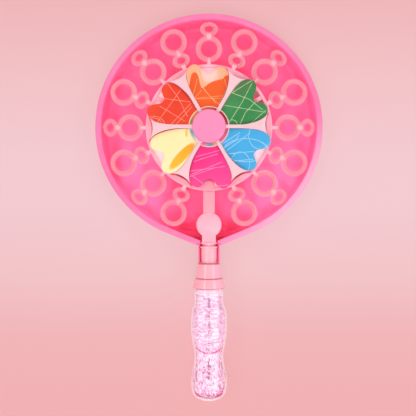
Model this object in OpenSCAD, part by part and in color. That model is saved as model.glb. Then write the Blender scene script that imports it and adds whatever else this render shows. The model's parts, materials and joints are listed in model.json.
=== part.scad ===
// Hand-held windmill bubble wand resting in its round dipping tray.
// The bottle of bubble solution is the handle.
// Frame: millimetres, +Z up out of the tray, +Y from the handle towards the head.
// Origin: on the windmill's spin axis, in the plane of the tray's underside.
// A station is a distance from that axis towards the handle, so station s lies at y = -s.
// Name endings: _r radius, _d diameter, _t thickness, _w width, _y station,
// _z height, _lo and _hi heights of a lower and an upper face, _pcr pitch circle radius.

/* [Tray] */
// Outside diameter of the tray's rim
tray_d = 240; // [238:1:250]
// Height of the rim's top above the table
tray_h = 24; // [23:0.5:26]
// Thickness of the tray's wall, floor and rim
tray_t = 1.6; // [1.2:0.1:2.0]
// Width of the flat rim
rim_w = 5.8; // [5:0.1:6.4]
// Radius of the fillet between the tray's wall and floor
tray_fillet = 5; // [3:0.5:7]
// Length of the saddle that holds the wand's collar, past the rim
saddle_len = 21.6; // [16:0.2:22]

/* [Bubble loops] */
// Tip radius of a large loop
big_r = 13.5; // [12:0.1:13.5]
// Radius of a large loop's hole
big_hole_r = 8.9; // [8:0.1:9.5]
// Ribs round a large loop
big_ribs = 37; // [30:1:48]
// Tip radius of a small loop along the arm
small_ra = 7.3; // [6.5:0.1:7.3]
// Tip radius of a small loop across the arm
small_rb = 9.1; // [8:0.1:9.4]
// Ribs round a small loop
small_ribs = 22; // [20:1:32]
// Thickness of the loops
loop_t = 4; // [3:0.2:4.6]

/* [Centre ring] */
// Outer radius of the ring
ring_r = 67; // [66:0.2:68]
// Thickness of the ring
ring_t = 5; // [4.4:0.2:5.4]
// Mean radius of the scalloped inner edge
scallop_r = 62.2; // [61.8:0.1:62.6]
// Depth of the scallops, either side of the mean
scallop_a = 1.8; // [0.5:0.1:2.0]

/* [Windmill] */
// Pitch of each petal, in degrees
pitch = 7; // [3:0.5:9]
// Thickness of a petal's sheet
petal_t = 0.8; // [0.5:0.1:1.0]
// Radius of the hub cap
hub_r = 17.5; // [15:0.1:18]
// Radius of the axle
axle_r = 2; // [1.5:0.1:2.4]

/* [Stem] */
// Width of the stem
stem_w = 12.2; // [11:0.2:12.6]
// Radius of the round socket that the stem plugs into
knob_r = 13.2; // [12:0.1:13.4]
// Distance of the socket's centre from the windmill's axis
knob_y = 103; // [102:0.5:103.5]

/* [Cap and bottle] */
// Largest radius of the bottle
bottle_r = 19.4; // [18.4:0.1:19.6]
// Wall thickness of the bottle
bottle_t = 1.2; // [0.9:0.1:1.5]
// Lead of the bottle's screw thread
thread_lead = 3; // [2.6:0.1:3.2]
// Depth of the grip grooves on the bottle
groove_d = 0.45; // [0:0.05:0.6]

/* [Hidden] */
$fn = 64;

// Clearances: parts that grip, parts that turn, and faces that lie on each other.
tight_fit = 0.02;
loose_fit = 0.06;
seat_gap = 0.05;

// Height of the wand's long axis: the bottle lies on the table.
axis_z = bottle_r;

// Heights through the head.
ring_lo = axis_z - ring_t / 2;
rib_hi = ring_lo + 3;
boss_hi = 23.6;
plate_t = 1.6;
plate_lo = ring_lo - 0.1 - plate_t;
stem_lo = 13.3;
stem_hi = 25.5;
tongue_hi = 23.4;
knob_lo = 14.2;
knob_hi = 26.6;

// Heights through the windmill.
carrier_lo = boss_hi + 0.9;
petal_z = 27.2;
clamp_z = petal_z + petal_t + seat_gap;
clamp_floor = 1.0;
clamp_lip = 0.6;
star_lo = clamp_z + clamp_floor + clamp_lip + seat_gap;
star_hi = star_lo + 1.2;
cap_z = star_hi + 0.1;
sleeve_hi = cap_z + 1.3;
bush_hi = sleeve_hi + 0.1;
head_lo = bush_hi + 0.12;

// Stations along the wand.
screw_y = [73.5, 80];
tang_end = 84;
flange_y = 121.6;
collar_y = 125.6;
tier1_y = 143.8;
web_y = 151.5;
tier2_y = 159.4;
mouth_y = 160;
cap_end = 169.9;
base_y = 287.4;

petals = 6;
petal_step = 360 / petals;

// ---------- helpers ----------
function lerp(start, end, t) = start + (end - start) * t;
function smooth(t) = let (c = min(1, max(0, t))) c * c * (3 - 2 * c);
// Point t (0 to 1) on the Catmull-Rom span from points[i] to points[i + 1], ends held.
function span_point(points, i, t) =
    let (before = points[max(i - 1, 0)],
         start = points[i],
         end = points[i + 1],
         after = points[min(i + 2, len(points) - 1)])
    0.5 * (2 * start + (end - before) * t
           + (2 * before - 5 * start + 4 * end - after) * t * t
           + (3 * start - before - 3 * end + after) * t * t * t);
// Smooth curve through the points.
function spline(points, steps) =
    [for (i = [0 : len(points) - 2]) for (k = [0 : steps - 1]) span_point(points, i, k / steps),
     points[len(points) - 1]];
// Two triangles on a quad whose rows are a, b and c, d; and faces turned inside out.
function quad(a, b, c, d) = [[a, b, d], [a, d, c]];
function flip(faces) = [for (face = faces) [face[0], face[2], face[1]]];

// Upright cylinder and cone, standing at height z.
module rod(radius, z, height, station = 0)
    translate([0, -station, z]) cylinder(r = radius, h = height);
module cone(low_r, high_r, z, height, station = 0)
    translate([0, -station, z]) cylinder(r1 = low_r, r2 = high_r, h = height);
// Box astride the wand's centre line.
module block(width, start_y, end_y, low, high)
    translate([-width / 2, -end_y, low]) cube([width, end_y - start_y, high - low]);
// Turns +Z along the wand's long axis, so that z becomes the station.
module on_axis() translate([0, 0, axis_z]) rotate([90, 0, 0]) children();
// A solid of revolution about the wand's axis. Profile points are [radius, station].
module lathe(profile) on_axis() rotate_extrude($fn = 96) polygon(profile);
// A cylinder along the wand's axis.
module bar(radius, start_y, end_y)
    on_axis() translate([0, 0, start_y]) cylinder(r = radius, h = end_y - start_y, $fn = 96);
// A bar along the wand's axis, carried straight up to a height: a U in section.
module u_bar(radius, start_y, end_y, top) {
    bar(radius, start_y, end_y);
    block(2 * radius, start_y, end_y, axis_z, top);
}
// A bar along the wand with all four long edges chamfered.
module chamfered_bar(half_w, low, high, top_in, top_drop, start_y, end_y) {
    foot = 2;
    translate([0, -start_y, 0]) rotate([90, 0, 0]) linear_extrude(end_y - start_y)
        polygon([[-half_w, low + foot], [-half_w + foot, low],
                 [half_w - foot, low], [half_w, low + foot],
                 [half_w, high - top_drop], [half_w - top_in, high],
                 [-half_w + top_in, high], [-half_w, high - top_drop]]);
}
// Copies turned evenly about the windmill's axis.
module around(count, start = 0)
    for (i = [0 : count - 1]) rotate(start + i * 360 / count) children();

// ---------- tray ----------
rim_in = tray_d / 2 - rim_w;
floor_in = rim_in - 2.2;
rim_drop = 4.6;
rim_chamfer = 0.7;
// The rim draws out to a blunt point at the trough.
// Corners of the rim and of the basin's mouth, [half width, station].
prow_out = [13.2, 124.3];
prow_in = [9.9, 119.6];
// Height of the mouth's shelf.
mouth_z = 10;
saddle_r = 11;
slot_r = 9.25;
groove_r = 9.95;
saddle_start = 113.6;
saddle_end = tray_d / 2 + saddle_len + 1.6;

// Arc about the fillet's centre, [radius, height].
function wall_fillet(radius, start, end) =
    [for (i = [0 : 6]) let (angle = lerp(start, end, i / 6))
        [floor_in - tray_fillet + radius * cos(angle),
         tray_t + tray_fillet + radius * sin(angle)]];
// The tray's section, [radius, height]: up the inside, over the rim, down the outside.
module basin() {
    skirt_in = tray_d / 2 - tray_t * 0.8;
    rotate_extrude($fn = 128) polygon(concat(
        [[0, tray_t]],
        wall_fillet(tray_fillet, -90, -4),
        [[rim_in - 0.35, tray_h - 0.8], [rim_in + 0.1, tray_h],
         [tray_d / 2 - rim_chamfer, tray_h], [tray_d / 2, tray_h - rim_chamfer],
         [tray_d / 2, tray_h - rim_drop], [skirt_in, tray_h - rim_drop],
         [skirt_in, tray_h - tray_t], [rim_in + tray_t + 0.4, tray_h - tray_t]],
        wall_fillet(tray_fillet + tray_t, -4, -90),
        [[0, 0]]));
}
// Point where a line from a corner touches a circle about the tray's centre.
function touch(corner, radius) =
    let (angle = atan2(corner[0], corner[1]) + acos(radius / norm(corner)))
    [radius * sin(angle), -radius * cos(angle)];
function prow_plan(corner, radius) =
    let (side = touch(corner, radius))
    [[-side[0], side[1]], [-corner[0], -corner[1]], [corner[0], -corner[1]], side, [0, -60]];
module prow_layer(low, height, corner, radius)
    translate([0, 0, low]) linear_extrude(height) polygon(prow_plan(corner, radius));
module prow() difference() {
    union() {
        prow_layer(tray_h - rim_drop, rim_drop - rim_chamfer, prow_out, tray_d / 2);
        prow_layer(tray_h - 0.8, 0.8, prow_out - [0.5, 0.5], tray_d / 2 - 0.6);
        prow_layer(mouth_z - tray_t, tray_h - mouth_z,
                   prow_in + [tray_t, tray_t], rim_in + tray_t);
    }
    rod(floor_in + 0.3, -1, 60, $fn = 128);
}
// U-shaped trough that carries the wand's collar, its two lips level with the rim.
module saddle_body() difference() {
    u_bar(saddle_r, saddle_start, saddle_end, tray_h);
    // Everything above the rim, and inside the basin, is open.
    block(60, 1, saddle_end + 1, tray_h, tray_h + 30);
    rod(floor_in - 0.6, tray_t, 60, $fn = 128);
}
module saddle_cut() {
    // The stem's way out through the wall, and the collar's bed.
    u_bar(slot_r, saddle_start - 8, saddle_end + 1, axis_z + 30);
    // Room round the wand's socket.
    rod(knob_r + 0.5, knob_lo - 0.4, 40, knob_y, $fn = 96);
    // Groove for the cap's top bead.
    u_bar(groove_r, collar_y - 0.35, collar_y + 2.0, axis_z + 30);
}
module tray() color([0.98, 0.30, 0.52]) difference() {
    union() {
        basin();
        saddle_body();
        prow();
    }
    saddle_cut();
    // The mouth opens the basin's wall out to the trough.
    prow_layer(mouth_z, 40, prow_in, rim_in);
}

// ---------- loops ----------
// Arm radii of the loop centres, for the two kinds of pair.
near_big = 83.5;
far_small = 104.5;
near_small = 76.9;
far_big = 98;
// Distance from a loop's centre to the end of a link.
big_reach = big_hole_r + 1.6;
small_reach = 4.9;
loop_places = 16;
// The stem takes the place that points along -Y.
stem_place = loop_places * 3 / 4;
// Half sizes of a small loop's hole, along and across the arm.
small_hole = [3.5, 4.7];

// Ribbed oval: tips at half sizes [along, across], roots a rib's depth inside.
function ribbed(along, across, ribs, depth) =
    [for (i = [0 : 2 * ribs - 1]) let (angle = 180 * i / ribs, inset = i % 2 == 0 ? 0 : depth)
        [(along - inset) * cos(angle), (across - inset) * sin(angle)]];
function oval(along, across, count) =
    [for (i = [0 : count - 1]) [along * cos(360 * i / count), across * sin(360 * i / count)]];
// A loop at x on the arm, with the child cut out of it.
module loop(x, outline) translate([x, 0, axis_z - loop_t / 2]) difference() {
    linear_extrude(loop_t) polygon(outline);
    translate([0, 0, -1]) children();
}
module big_loop(x) loop(x, ribbed(big_r, big_r, big_ribs, 2.1))
    cylinder(r = big_hole_r, h = loop_t + 2);
module small_loop(x) loop(x, ribbed(small_ra, small_rb, small_ribs, 1.7))
    linear_extrude(loop_t + 2) polygon(oval(small_hole[0], small_hole[1], 28));
module link(start_x, end_x, width)
    translate([start_x, -width / 2, axis_z - 1.3]) cube([end_x - start_x, width, 2.6]);
// Links from the ring to the near loop, and from the near loop to the far one.
module links(near, near_reach, far, far_reach, ring_link_w) {
    link(ring_r - 1, near - near_reach, ring_link_w);
    link(near + near_reach, far - far_reach, 3.4);
}
module big_near_pair() {
    big_loop(near_big);
    small_loop(far_small);
    links(near_big, big_reach, far_small, small_reach, 3.6);
}
module small_near_pair() {
    small_loop(near_small);
    big_loop(far_big);
    links(near_small, small_reach, far_big, big_reach, 3.8);
}

// ---------- ring frame and back plate ----------
stake_r = 1;
stake_pcr = 64.5;
boss_r = 8;
rib_w = 4.5;
frame_tang_w = 7;
frame_screw_r = 1.25;
frame_screw_head_r = 2.5;
frame_screw_hole_r = 1.4;

module ring_stakes(radius, z, height)
    around(petals) translate([stake_pcr, 0, z]) cylinder(r = radius, h = height);
module ring_band() {
    // Six broad scallops, flat at their crests, one crest under each gap between petals.
    inner = [for (i = [0 : 119])
        let (angle = i * 3, wave = cos(petals * angle),
             radius = scallop_r - scallop_a * wave * (1.5 - 0.5 * wave * wave))
        [radius * cos(angle), radius * sin(angle)]];
    translate([0, 0, ring_lo]) difference() {
        cylinder(r = ring_r, h = ring_t, $fn = 128);
        translate([0, 0, -1]) linear_extrude(ring_t + 2) polygon(inner);
    }
}
module loop_frame() color([1.0, 0.68, 0.74]) difference() {
    union() {
        difference() {
            ring_band();
            // Half lap for the stem.
            block(stem_w + 0.1, ring_r - 8, ring_r + 2, rib_hi, rib_hi + 10);
        }
        // Two narrow ribs, and the broad one towards the stem.
        for (angle = [30, 150]) rotate(angle)
            translate([5, -rib_w / 2, ring_lo]) cube([60.5, rib_w, rib_hi - ring_lo]);
        block(stem_w, 5, ring_r - 1, ring_lo, rib_hi);
        // Tang that enters the stem.
        block(frame_tang_w, ring_r - 2, tang_end, ring_lo, rib_hi);
        rod(boss_r, plate_lo - 0.2, boss_hi - plate_lo + 0.2);
        ring_stakes(stake_r, plate_lo - 0.3, ring_lo - plate_lo + 1);
        for (i = [0 : loop_places - 1]) if (i != stem_place) rotate(i * 360 / loop_places) {
            if (i % 2 == 0) big_near_pair();
            else small_near_pair();
        }
    }
    // Axle bore, and the screw holes in the tang.
    rod(axle_r + tight_fit, 5, 30);
    for (y = screw_y) rod(frame_screw_hole_r, 10, 20, y);
}

// Pale disc under the ring, held on the ring's stakes.
module back_plate() color([0.98, 0.86, 0.88]) translate([0, 0, plate_lo]) difference() {
    cylinder(r = 66.3, h = plate_t, $fn = 128);
    rod(boss_r + 0.1, -1, 5);
    ring_stakes(stake_r + 0.08, -1, 5);
    // Two drain windows, either side of one of the ring's ribs.
    for (side = [0, 1]) rotate(30) mirror([0, side, 0])
        translate([0, 0, -1]) linear_extrude(5)
            polygon([[45, 2.6], [60.2, 2.6], [60.2, 4.2], [55.2, 13.6], [53.4, 13.6], [45, 4.4]]);
}

// ---------- stem and socket ----------
// Pocket in the stem for the ring's tang.
pocket_lo = ring_lo - 0.05;
pocket_hi = rib_hi + 0.05;
// The stem's own tang, which enters the socket, and its clearance there.
stem_tang_w = 8;
stem_tang_end = knob_y + 3.6;
stem_tang_lo = 17;
stem_tang_hi = 21.8;
stem_tang_gap = 0.1;
stem_bar_y = 68.2;
tongue_y = 62.1;
screw_head_t = 1.5;
socket_screw_r = 1.5;
socket_screw_head_r = 2.9;
socket_screw_hole_r = 1.6;
neck_half_w = 7.3;
spigot_r = 7.1;

// The stem's tang, or with a gap the pocket it fits.
module stem_tang(gap) {
    end_y = stem_tang_end + gap;
    block(stem_tang_w + 2 * gap, end_y - 20, end_y, stem_tang_lo - gap, stem_tang_hi + gap);
}
// Head recess, clearance hole and threaded hole of a screw driven up from a lower face.
module screw_hole(station, face_z, head_r, clear_r, clear_h, shank_r, thread_z) {
    rod(head_r + 0.2, face_z - 1, 2.6, station);
    rod(clear_r, face_z, clear_h, station);
    rod(shank_r + tight_fit, thread_z, 4.6, station);
}
module stem() color([1.0, 0.72, 0.78]) difference() {
    union() {
        // Tongue over the ring's broad rib, with a round end.
        intersection() {
            block(stem_w, ring_r - 18, ring_r + 2, rib_hi + 0.05, tongue_hi);
            union() {
                rod(stem_w / 2, 0, 40, tongue_y);
                block(stem_w, tongue_y, 70, 0, 40);
            }
        }
        // Bar with chamfered edges, hollowed to the socket's round wall at its far end.
        difference() {
            chamfered_bar(stem_w / 2, stem_lo, stem_hi, top_in = 2.6, top_drop = 1.2,
                          start_y = stem_bar_y, end_y = knob_y);
            rod(knob_r + 0.06, 0, 60, knob_y, $fn = 96);
        }
        stem_tang(0);
    }
    // Pocket for the ring's tang, and its two screws from below.
    block(frame_tang_w + 0.2, tang_end - 19.8, tang_end + 0.2, pocket_lo, pocket_hi);
    for (y = screw_y)
        screw_hole(y, stem_lo, head_r = frame_screw_head_r,
                   clear_r = frame_screw_hole_r, clear_h = pocket_lo - stem_lo + 1,
                   shank_r = frame_screw_r, thread_z = pocket_hi - 1);
    // Hole for the socket's screw.
    rod(socket_screw_hole_r, 10, 20, knob_y);
}

// A pan-head self-tapping screw, head down at z = 0, shank up, with a cross recess.
module pan_screw(shank_r, length, head_r) difference() {
    union() {
        cylinder(r = shank_r, h = length + screw_head_t, $fn = 32);
        cylinder(r1 = head_r - 0.5, r2 = head_r, h = 0.5);
        rod(head_r, 0.5, screw_head_t - 0.5);
    }
    for (angle = [0, 90]) rotate(angle)
        translate([-head_r * 0.55, -0.3, -1]) cube([head_r * 1.1, 0.6, 1.7]);
}
module frame_screws() color([0.75, 0.76, 0.78])
    for (y = screw_y) translate([0, -y, stem_lo + seat_gap])
        pan_screw(frame_screw_r, 8.3, frame_screw_head_r);
module socket_screw() color([0.75, 0.76, 0.78])
    translate([0, -knob_y, knob_lo + seat_gap])
        pan_screw(socket_screw_r, 8.6, socket_screw_head_r);

// Round socket with the neck, flange and spigot that plug the head into the cap.
module neck_socket() color([1.0, 0.74, 0.81]) difference() {
    union() {
        cone(knob_r - 0.8, knob_r, knob_lo, 0.8, knob_y, $fn = 96);
        rod(knob_r, knob_lo + 0.8, knob_hi - knob_lo - 1.8, knob_y, $fn = 96);
        cone(knob_r, knob_r - 1.7, knob_hi - 1.0, 1.0, knob_y, $fn = 96);
        // Neck, flat on top and level with the socket.
        chamfered_bar(neck_half_w, knob_lo, knob_hi, top_in = 1.7, top_drop = 1.0,
                      start_y = knob_y + 8, end_y = flange_y + 0.2);
        bar(9.1, flange_y, flange_y + 1.7);
        bar(spigot_r, flange_y + 1.5, web_y - 0.1);
    }
    stem_tang(stem_tang_gap);
    screw_hole(knob_y, knob_lo, head_r = socket_screw_head_r,
               clear_r = socket_screw_hole_r, clear_h = 4,
               shank_r = socket_screw_r, thread_z = 20);
    // The spigot is a tube.
    bar(spigot_r - 1.9, 126, 152);
}

// ---------- screw thread ----------
thread_turns = 1.6;
thread_root_w = 1.3;
thread_crest_w = 0.7;

// Trapezoid section at one step of the thread, tapering out towards both ends.
function thread_section(i, steps, root_r, crest_r, start_y) =
    let (t = i / steps,
         angle = 360 * thread_turns * t,
         taper = min(1, min(t, 1 - t) * steps / 5 + 0.02),
         station = start_y + thread_lead * thread_turns * t,
         tip_r = lerp(root_r, crest_r, taper))
    [for (corner = [[root_r, -thread_root_w / 2], [tip_r, -thread_crest_w / 2],
                    [tip_r, thread_crest_w / 2], [root_r, thread_root_w / 2]])
        [corner[0] * cos(angle), corner[0] * sin(angle), station + corner[1]]];
// Helical ridge about the wand's axis. Its root is buried in the wall it stands on.
module thread(root_r, crest_r, start_y) {
    steps = ceil(thread_turns * 30);
    last = 4 * steps;
    points = [for (i = [0 : steps]) each thread_section(i, steps, root_r, crest_r, start_y)];
    sides = [for (i = [0 : steps - 1]) for (k = [0 : 3])
        let (a = 4 * i + k, b = 4 * i + (k + 1) % 4)
        each quad(a, b, a + 4, b + 4)];
    ends = [[0, 3, 2], [0, 2, 1], [last, last + 1, last + 2], [last, last + 2, last + 3]];
    faces = concat(sides, ends);
    // Winding depends on which way the crest points.
    on_axis() polyhedron(points = points, faces = crest_r > root_r ? faces : flip(faces));
}

// ---------- cap and bottle ----------
cap_bore_r = 13.6;
web_t = 1.6;
liner_t = 1.0;
liner_seat_y = mouth_y - liner_t - 2 * seat_gap;

module bottle_cap() color([1.0, 0.70, 0.76]) union() {
    lathe([
        [spigot_r + 0.05, collar_y], [9.7, collar_y], [9.7, collar_y + 1.7],
        [8.8, collar_y + 2.2], [8.7, tier1_y], [11.9, tier1_y], [12.3, tier1_y + 0.4],
        [13.7, tier2_y - 0.1], [14.3, tier2_y], [14.8, tier2_y + 0.4],
        [17.1, cap_end - 0.6], [16.7, cap_end],
        [cap_bore_r, cap_end], [cap_bore_r, liner_seat_y], [10.4, liner_seat_y],
        [10.4, web_y + web_t], [spigot_r - 1.2, web_y + web_t],
        [spigot_r - 1.2, web_y], [spigot_r + 0.05, web_y]]);
    // Closing web over the bottle's mouth.
    bar(spigot_r, web_y, web_y + web_t);
    thread(cap_bore_r + 0.4, cap_bore_r - 0.7, mouth_y + 2);
}
module cap_liner() color([0.95, 0.95, 0.93]) on_axis() difference() {
    rod(12.9, liner_seat_y + seat_gap, liner_t, $fn = 96);
    rod(6, mouth_y - 2, 4);
}

// Bottle's outside line, [radius, station], from under the cap to the base.
body_points = [
    [14.8, 171.0], [15.1, 173.2], [15.2, 178.5], [15.2, 184.2], [15.5, 187.4], [16.9, 190.4],
    [18.0, 193.2], [18.7, 198.2], [19.2, 204], [bottle_r, 209.5], [19.2, 215], [18.8, 220],
    [18.1, 224], [17.4, 226.6], [17.4, 228.8], [16.8, 231.6], [16.0, 235.2], [15.35, 239.8],
    [15.35, 245], [15.9, 250.5], [17.0, 255], [18.1, 259.6], [18.8, 265], [19.0, 271],
    [18.6, 276.2], [17.7, 280.2], [15.6, 283.4], [12.2, 286.0]];
body_line = spline(body_points, 3);
// Shallow grip grooves round the upper bulge, fading out at both ends.
grip_start = 194;
grip_end = 226;
groove_pitch = 4.4;
function grip(y) = (y > grip_start && y < grip_end)
    ? -groove_d * max(0, sin((y - grip_start) * 360 / groove_pitch - 90))
      * smooth((y - grip_start) / 4) * smooth((grip_end - y) / 4)
    : 0;
grooved_line = [for (p = spline(body_points, 6)) [p[0] + grip(p[1]), p[1]]];
// Inside of the bottle's wall, from the base up, and of its base, from the axis out.
// A gap draws both lines into the bottle.
function wall_inside(first, last, gap) =
    [for (i = [last : -1 : first])
        [body_line[i][0] - bottle_t - groove_d * 0.7 - gap, body_line[i][1]]];
function base_inside(corner_r, gap) =
    [for (p = [[0, 3.6], [5, 3.2], [10, 2.4], [corner_r, 4.2]]) [p[0], base_y - p[1] - gap]];

module bottle() color([0.98, 0.88, 0.93, 0.4]) union() {
    lathe(concat(
        // Neck finish: mouth, wall and shoulder.
        [[9.6, mouth_y], [11.6, mouth_y], [11.6, cap_end - 0.2], [14.4, cap_end + 0.6]],
        grooved_line,
        // Base with a shallow push-up.
        [[9.5, base_y], [5, base_y - 1.6], [0, base_y - 2.2]],
        base_inside(13.2, 0),
        wall_inside(3, len(body_line) - 6, 0),
        [[12.6, 171.8], [9.6, 170]]));
    thread(11.3, 13.2, mouth_y + 3.5);
}
// Liquid in the bottle, a hair inside its wall, up to the shoulder under the neck.
module bubble_solution() color([0.98, 0.80, 0.90, 0.5]) {
    gap = 0.08;
    lathe(concat([[0, body_line[6][1] + 0.02]],
                 base_inside(13.1, gap),
                 wall_inside(6, len(body_line) - 7, gap)));
}

// ---------- axle and bearing ----------
bush_r = 3.4;
bush_flange_t = 0.9;

module axle_pin() color([0.8, 0.8, 0.82]) {
    rod(axle_r, plate_lo - 2.4, head_lo - plate_lo + 2.4, $fn = 48);
    rod(3.6, head_lo, 0.8, $fn = 48);
    cone(3.6, 2.8, head_lo + 0.8, 0.5, $fn = 48);
}
// Push-on nut under the boss.
module push_nut() color([0.7, 0.7, 0.72]) translate([0, 0, plate_lo - 0.25 - 1.0]) difference() {
    union() {
        cylinder(r = 5, h = 0.6, $fn = 48);
        cone(5, 4.4, 0.6, 0.4, $fn = 48);
    }
    rod(axle_r + tight_fit, -1, 3);
    around(3) translate([2.6, -0.35, -1]) cube([1.3, 0.7, 3]);
}
module thrust_washer() color([0.9, 0.9, 0.9]) translate([0, 0, boss_hi + 0.02]) difference() {
    cylinder(r = 5, h = 0.78);
    rod(axle_r + loose_fit, -1, 3);
}
module windmill_bush() color([0.93, 0.92, 0.88]) translate([0, 0, carrier_lo]) difference() {
    union() {
        cylinder(r = bush_r, h = bush_hi - carrier_lo);
        cylinder(r = 4.8, h = bush_flange_t);
    }
    rod(axle_r + loose_fit, -1, 20);
}

// ---------- carrier and petals ----------
sleeve_r = 6;
sleeve_hole_r = sleeve_r + 0.1;
pin_pcr = 15.4;
pin_r = 1.1;
pin_hole_r = pin_r + 0.1;

// One upright for each petal's root.
module pins(radius, z, height) around(petals, petal_step / 2)
    translate([pin_pcr, 0, z]) cylinder(r = radius, h = height, $fn = 32);
// Carrier: sleeve and flange under the petals' roots, with a stake for each petal.
module windmill_carrier() color([1.0, 0.78, 0.83]) {
    sleeve_lo = carrier_lo + bush_flange_t + seat_gap;
    flange_t = 1.5;
    difference() {
        union() {
            rod(sleeve_r, sleeve_lo, sleeve_hi - sleeve_lo);
            rod(20.6, petal_z - seat_gap - flange_t, flange_t, $fn = 96);
            pins(pin_r, petal_z - 0.2, 2.0);
        }
        rod(bush_r + tight_fit, 10, 40);
    }
}

// Half outlines of a petal, [along, across], from its root to the notch between its lobes:
// the leading side is the fuller one.
lead_points = [
    [9.5, 4.0], [14.5, 6.4], [19.2, 8.7], [25.3, 12.1], [32.3, 16.0], [39.6, 19.5],
    [46.1, 22.1], [52.8, 23.5], [59.0, 22.7], [63.2, 19.6], [65.0, 15.4], [63.9, 11.2],
    [60.6, 7.8], [57.2, 5.2], [55.4, 2.3], [55.1, -0.6]];
trail_points = [
    [9.5, 4.0], [14.5, 6.4], [19.2, 8.7], [25.3, 12.1], [32.3, 15.8], [39.3, 18.3],
    [45.8, 19.8], [52.0, 20.6], [57.6, 19.9], [61.6, 16.8], [63.3, 12.4], [62.3, 8.2],
    [59.4, 5.2], [56.6, 3.2], [55.2, 1.4]];
trail_line = spline(trail_points, 2);
petal_line = concat(spline(lead_points, 2),
    [for (i = [len(trail_line) - 1 : -1 : 0]) [trail_line[i][0], -trail_line[i][1]]]);
petal_mid = [38, 0];
petal_n = len(petal_line);
// Rings of points from the outline in to the middle.
petal_rings = 4;

// Rise of a petal's underside: flat at its root, then pitched, with its leading lobe curled up.
root_end = 20;
curl = 0.0022;
droop = 0.012;
function petal_rise(along, across) =
    smooth((along - root_end) / 16)
    * (across * tan(pitch) + curl * across * across - droop * (along - root_end));
function petal_point(p, lift) = [p[0], p[1], petal_z + petal_rise(p[0], p[1]) + lift];
// Faces of one skin: bands between its rings, then a fan to the middle.
function petal_skin(first, middle) =
    [for (ring = [0 : petal_rings - 1]) for (k = [0 : petal_n - 1])
        let (row = first + ring * petal_n, a = row + k, b = row + (k + 1) % petal_n)
        each (ring < petal_rings - 1 ? quad(a, b, a + petal_n, b + petal_n)
                                     : [[a, b, middle]])];

module petal(i) rotate(petal_step / 2 + petal_step * i) {
    skin_n = petal_rings * petal_n;
    points = concat(
        [for (lift = [0, petal_t]) for (ring = [0 : petal_rings - 1]) for (p = petal_line)
            petal_point(lerp(p, petal_mid, ring / petal_rings), lift)],
        [petal_point(petal_mid, 0), petal_point(petal_mid, petal_t)]);
    edge = [for (k = [0 : petal_n - 1]) let (next = (k + 1) % petal_n)
        each quad(k, next, skin_n + k, skin_n + next)];
    faces = concat(petal_skin(0, 2 * skin_n),
                   flip(petal_skin(skin_n, 2 * skin_n + 1)),
                   flip(edge));
    difference() {
        polyhedron(points = points, faces = faces);
        translate([pin_pcr, 0, petal_z - 2]) cylinder(r = pin_hole_r, h = 5, $fn = 32);
    }
}
module petal_green() color([0.27, 0.62, 0.33]) petal(0);
module petal_orange() color([1.0, 0.45, 0.15]) petal(1);
module petal_red() color([0.98, 0.30, 0.14]) petal(2);
module petal_yellow() color([1.0, 0.93, 0.55]) petal(3);
module petal_magenta() color([0.98, 0.24, 0.60]) petal(4);
module petal_blue() color([0.34, 0.70, 0.96]) petal(5);

// ---------- clamp, star and hub cap ----------
clamp_r = 21.5;

// Pale ring that clamps the petals' roots on the carrier's stakes.
module clamp_ring() color([1.0, 0.90, 0.86]) difference() {
    union() {
        rod(clamp_r, clamp_z, clamp_floor, $fn = 96);
        translate([0, 0, clamp_z + clamp_floor]) difference() {
            cylinder(r1 = clamp_r, r2 = clamp_r - 0.3, h = clamp_lip, $fn = 96);
            rod(20.4, -1, 3, $fn = 96);
        }
    }
    rod(sleeve_hole_r, 20, 20);
    pins(pin_hole_r, 20, 20);
}
module foil_disc() color([0.8, 0.75, 0.85]) difference() {
    rod(20.3, clamp_z + clamp_floor + seat_gap, 0.3, $fn = 96);
    rod(sleeve_hole_r, 20, 20);
}
// Six-armed star over the petals' joints. Each arm widens to fill the gap between two petals
// and ends in a hollow edge that follows the ring's scallop. Points are [along, across].
lead_corner = -8.6;
trail_corner = 13.2;
arm_lead = spline([[12, -2.0], [28, -1.95], [36, -2.0], [44, -2.5], [51, -3.5], [57.3, -5.5],
                   [61.3, lead_corner]], 3);
arm_end = [for (i = [1 : 9]) let (offset_ratio = (i - 5) / 5)
    [58.9 + 2.45 * offset_ratio * offset_ratio, lerp(lead_corner, trail_corner, i / 10)]];
arm_trail = spline([[61.4, trail_corner], [59.4, 10.9], [55.2, 7.7], [49.6, 5.2], [43.2, 3.3],
                    [36, 2.1], [28, 1.95], [12, 2.0]], 3);
module windmill_star() color([0.98, 0.83, 0.86]) translate([0, 0, star_lo]) difference() {
    union() {
        cylinder(r = 13, h = star_hi - star_lo, $fn = 96);
        around(petals) linear_extrude(star_hi - star_lo)
            polygon(concat(arm_lead, arm_end, arm_trail));
    }
    rod(sleeve_hole_r, -1, 5);
}
// Cap over the axle's head. Its skirt grips the carrier's sleeve.
module hub_cap() color([0.98, 0.56, 0.75]) {
    side_h = 3.4;
    roof_h = 2.9;
    difference() {
        union() {
            rod(hub_r, cap_z, side_h, $fn = 96);
            cone(hub_r, hub_r - 0.8, cap_z + side_h, 0.8, $fn = 96);
        }
        // Hollow between the outer wall and the skirt.
        difference() {
            rod(hub_r - 1.4, cap_z - 1, roof_h + 1, $fn = 96);
            rod(7.6, 20, 20);
        }
        rod(sleeve_r + 0.05, 20, cap_z + roof_h - 20);
    }
}

tray();
loop_frame();
back_plate();
stem();
frame_screws();
neck_socket();
socket_screw();
bottle_cap();
cap_liner();
bottle();
bubble_solution();
axle_pin();
push_nut();
thrust_washer();
windmill_bush();
windmill_carrier();
petal_green();
petal_orange();
petal_red();
petal_yellow();
petal_magenta();
petal_blue();
clamp_ring();
foil_disc();
windmill_star();
hub_cap();
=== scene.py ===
import bpy
import bmesh
import json
import math
from mathutils import Vector, Matrix

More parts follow.
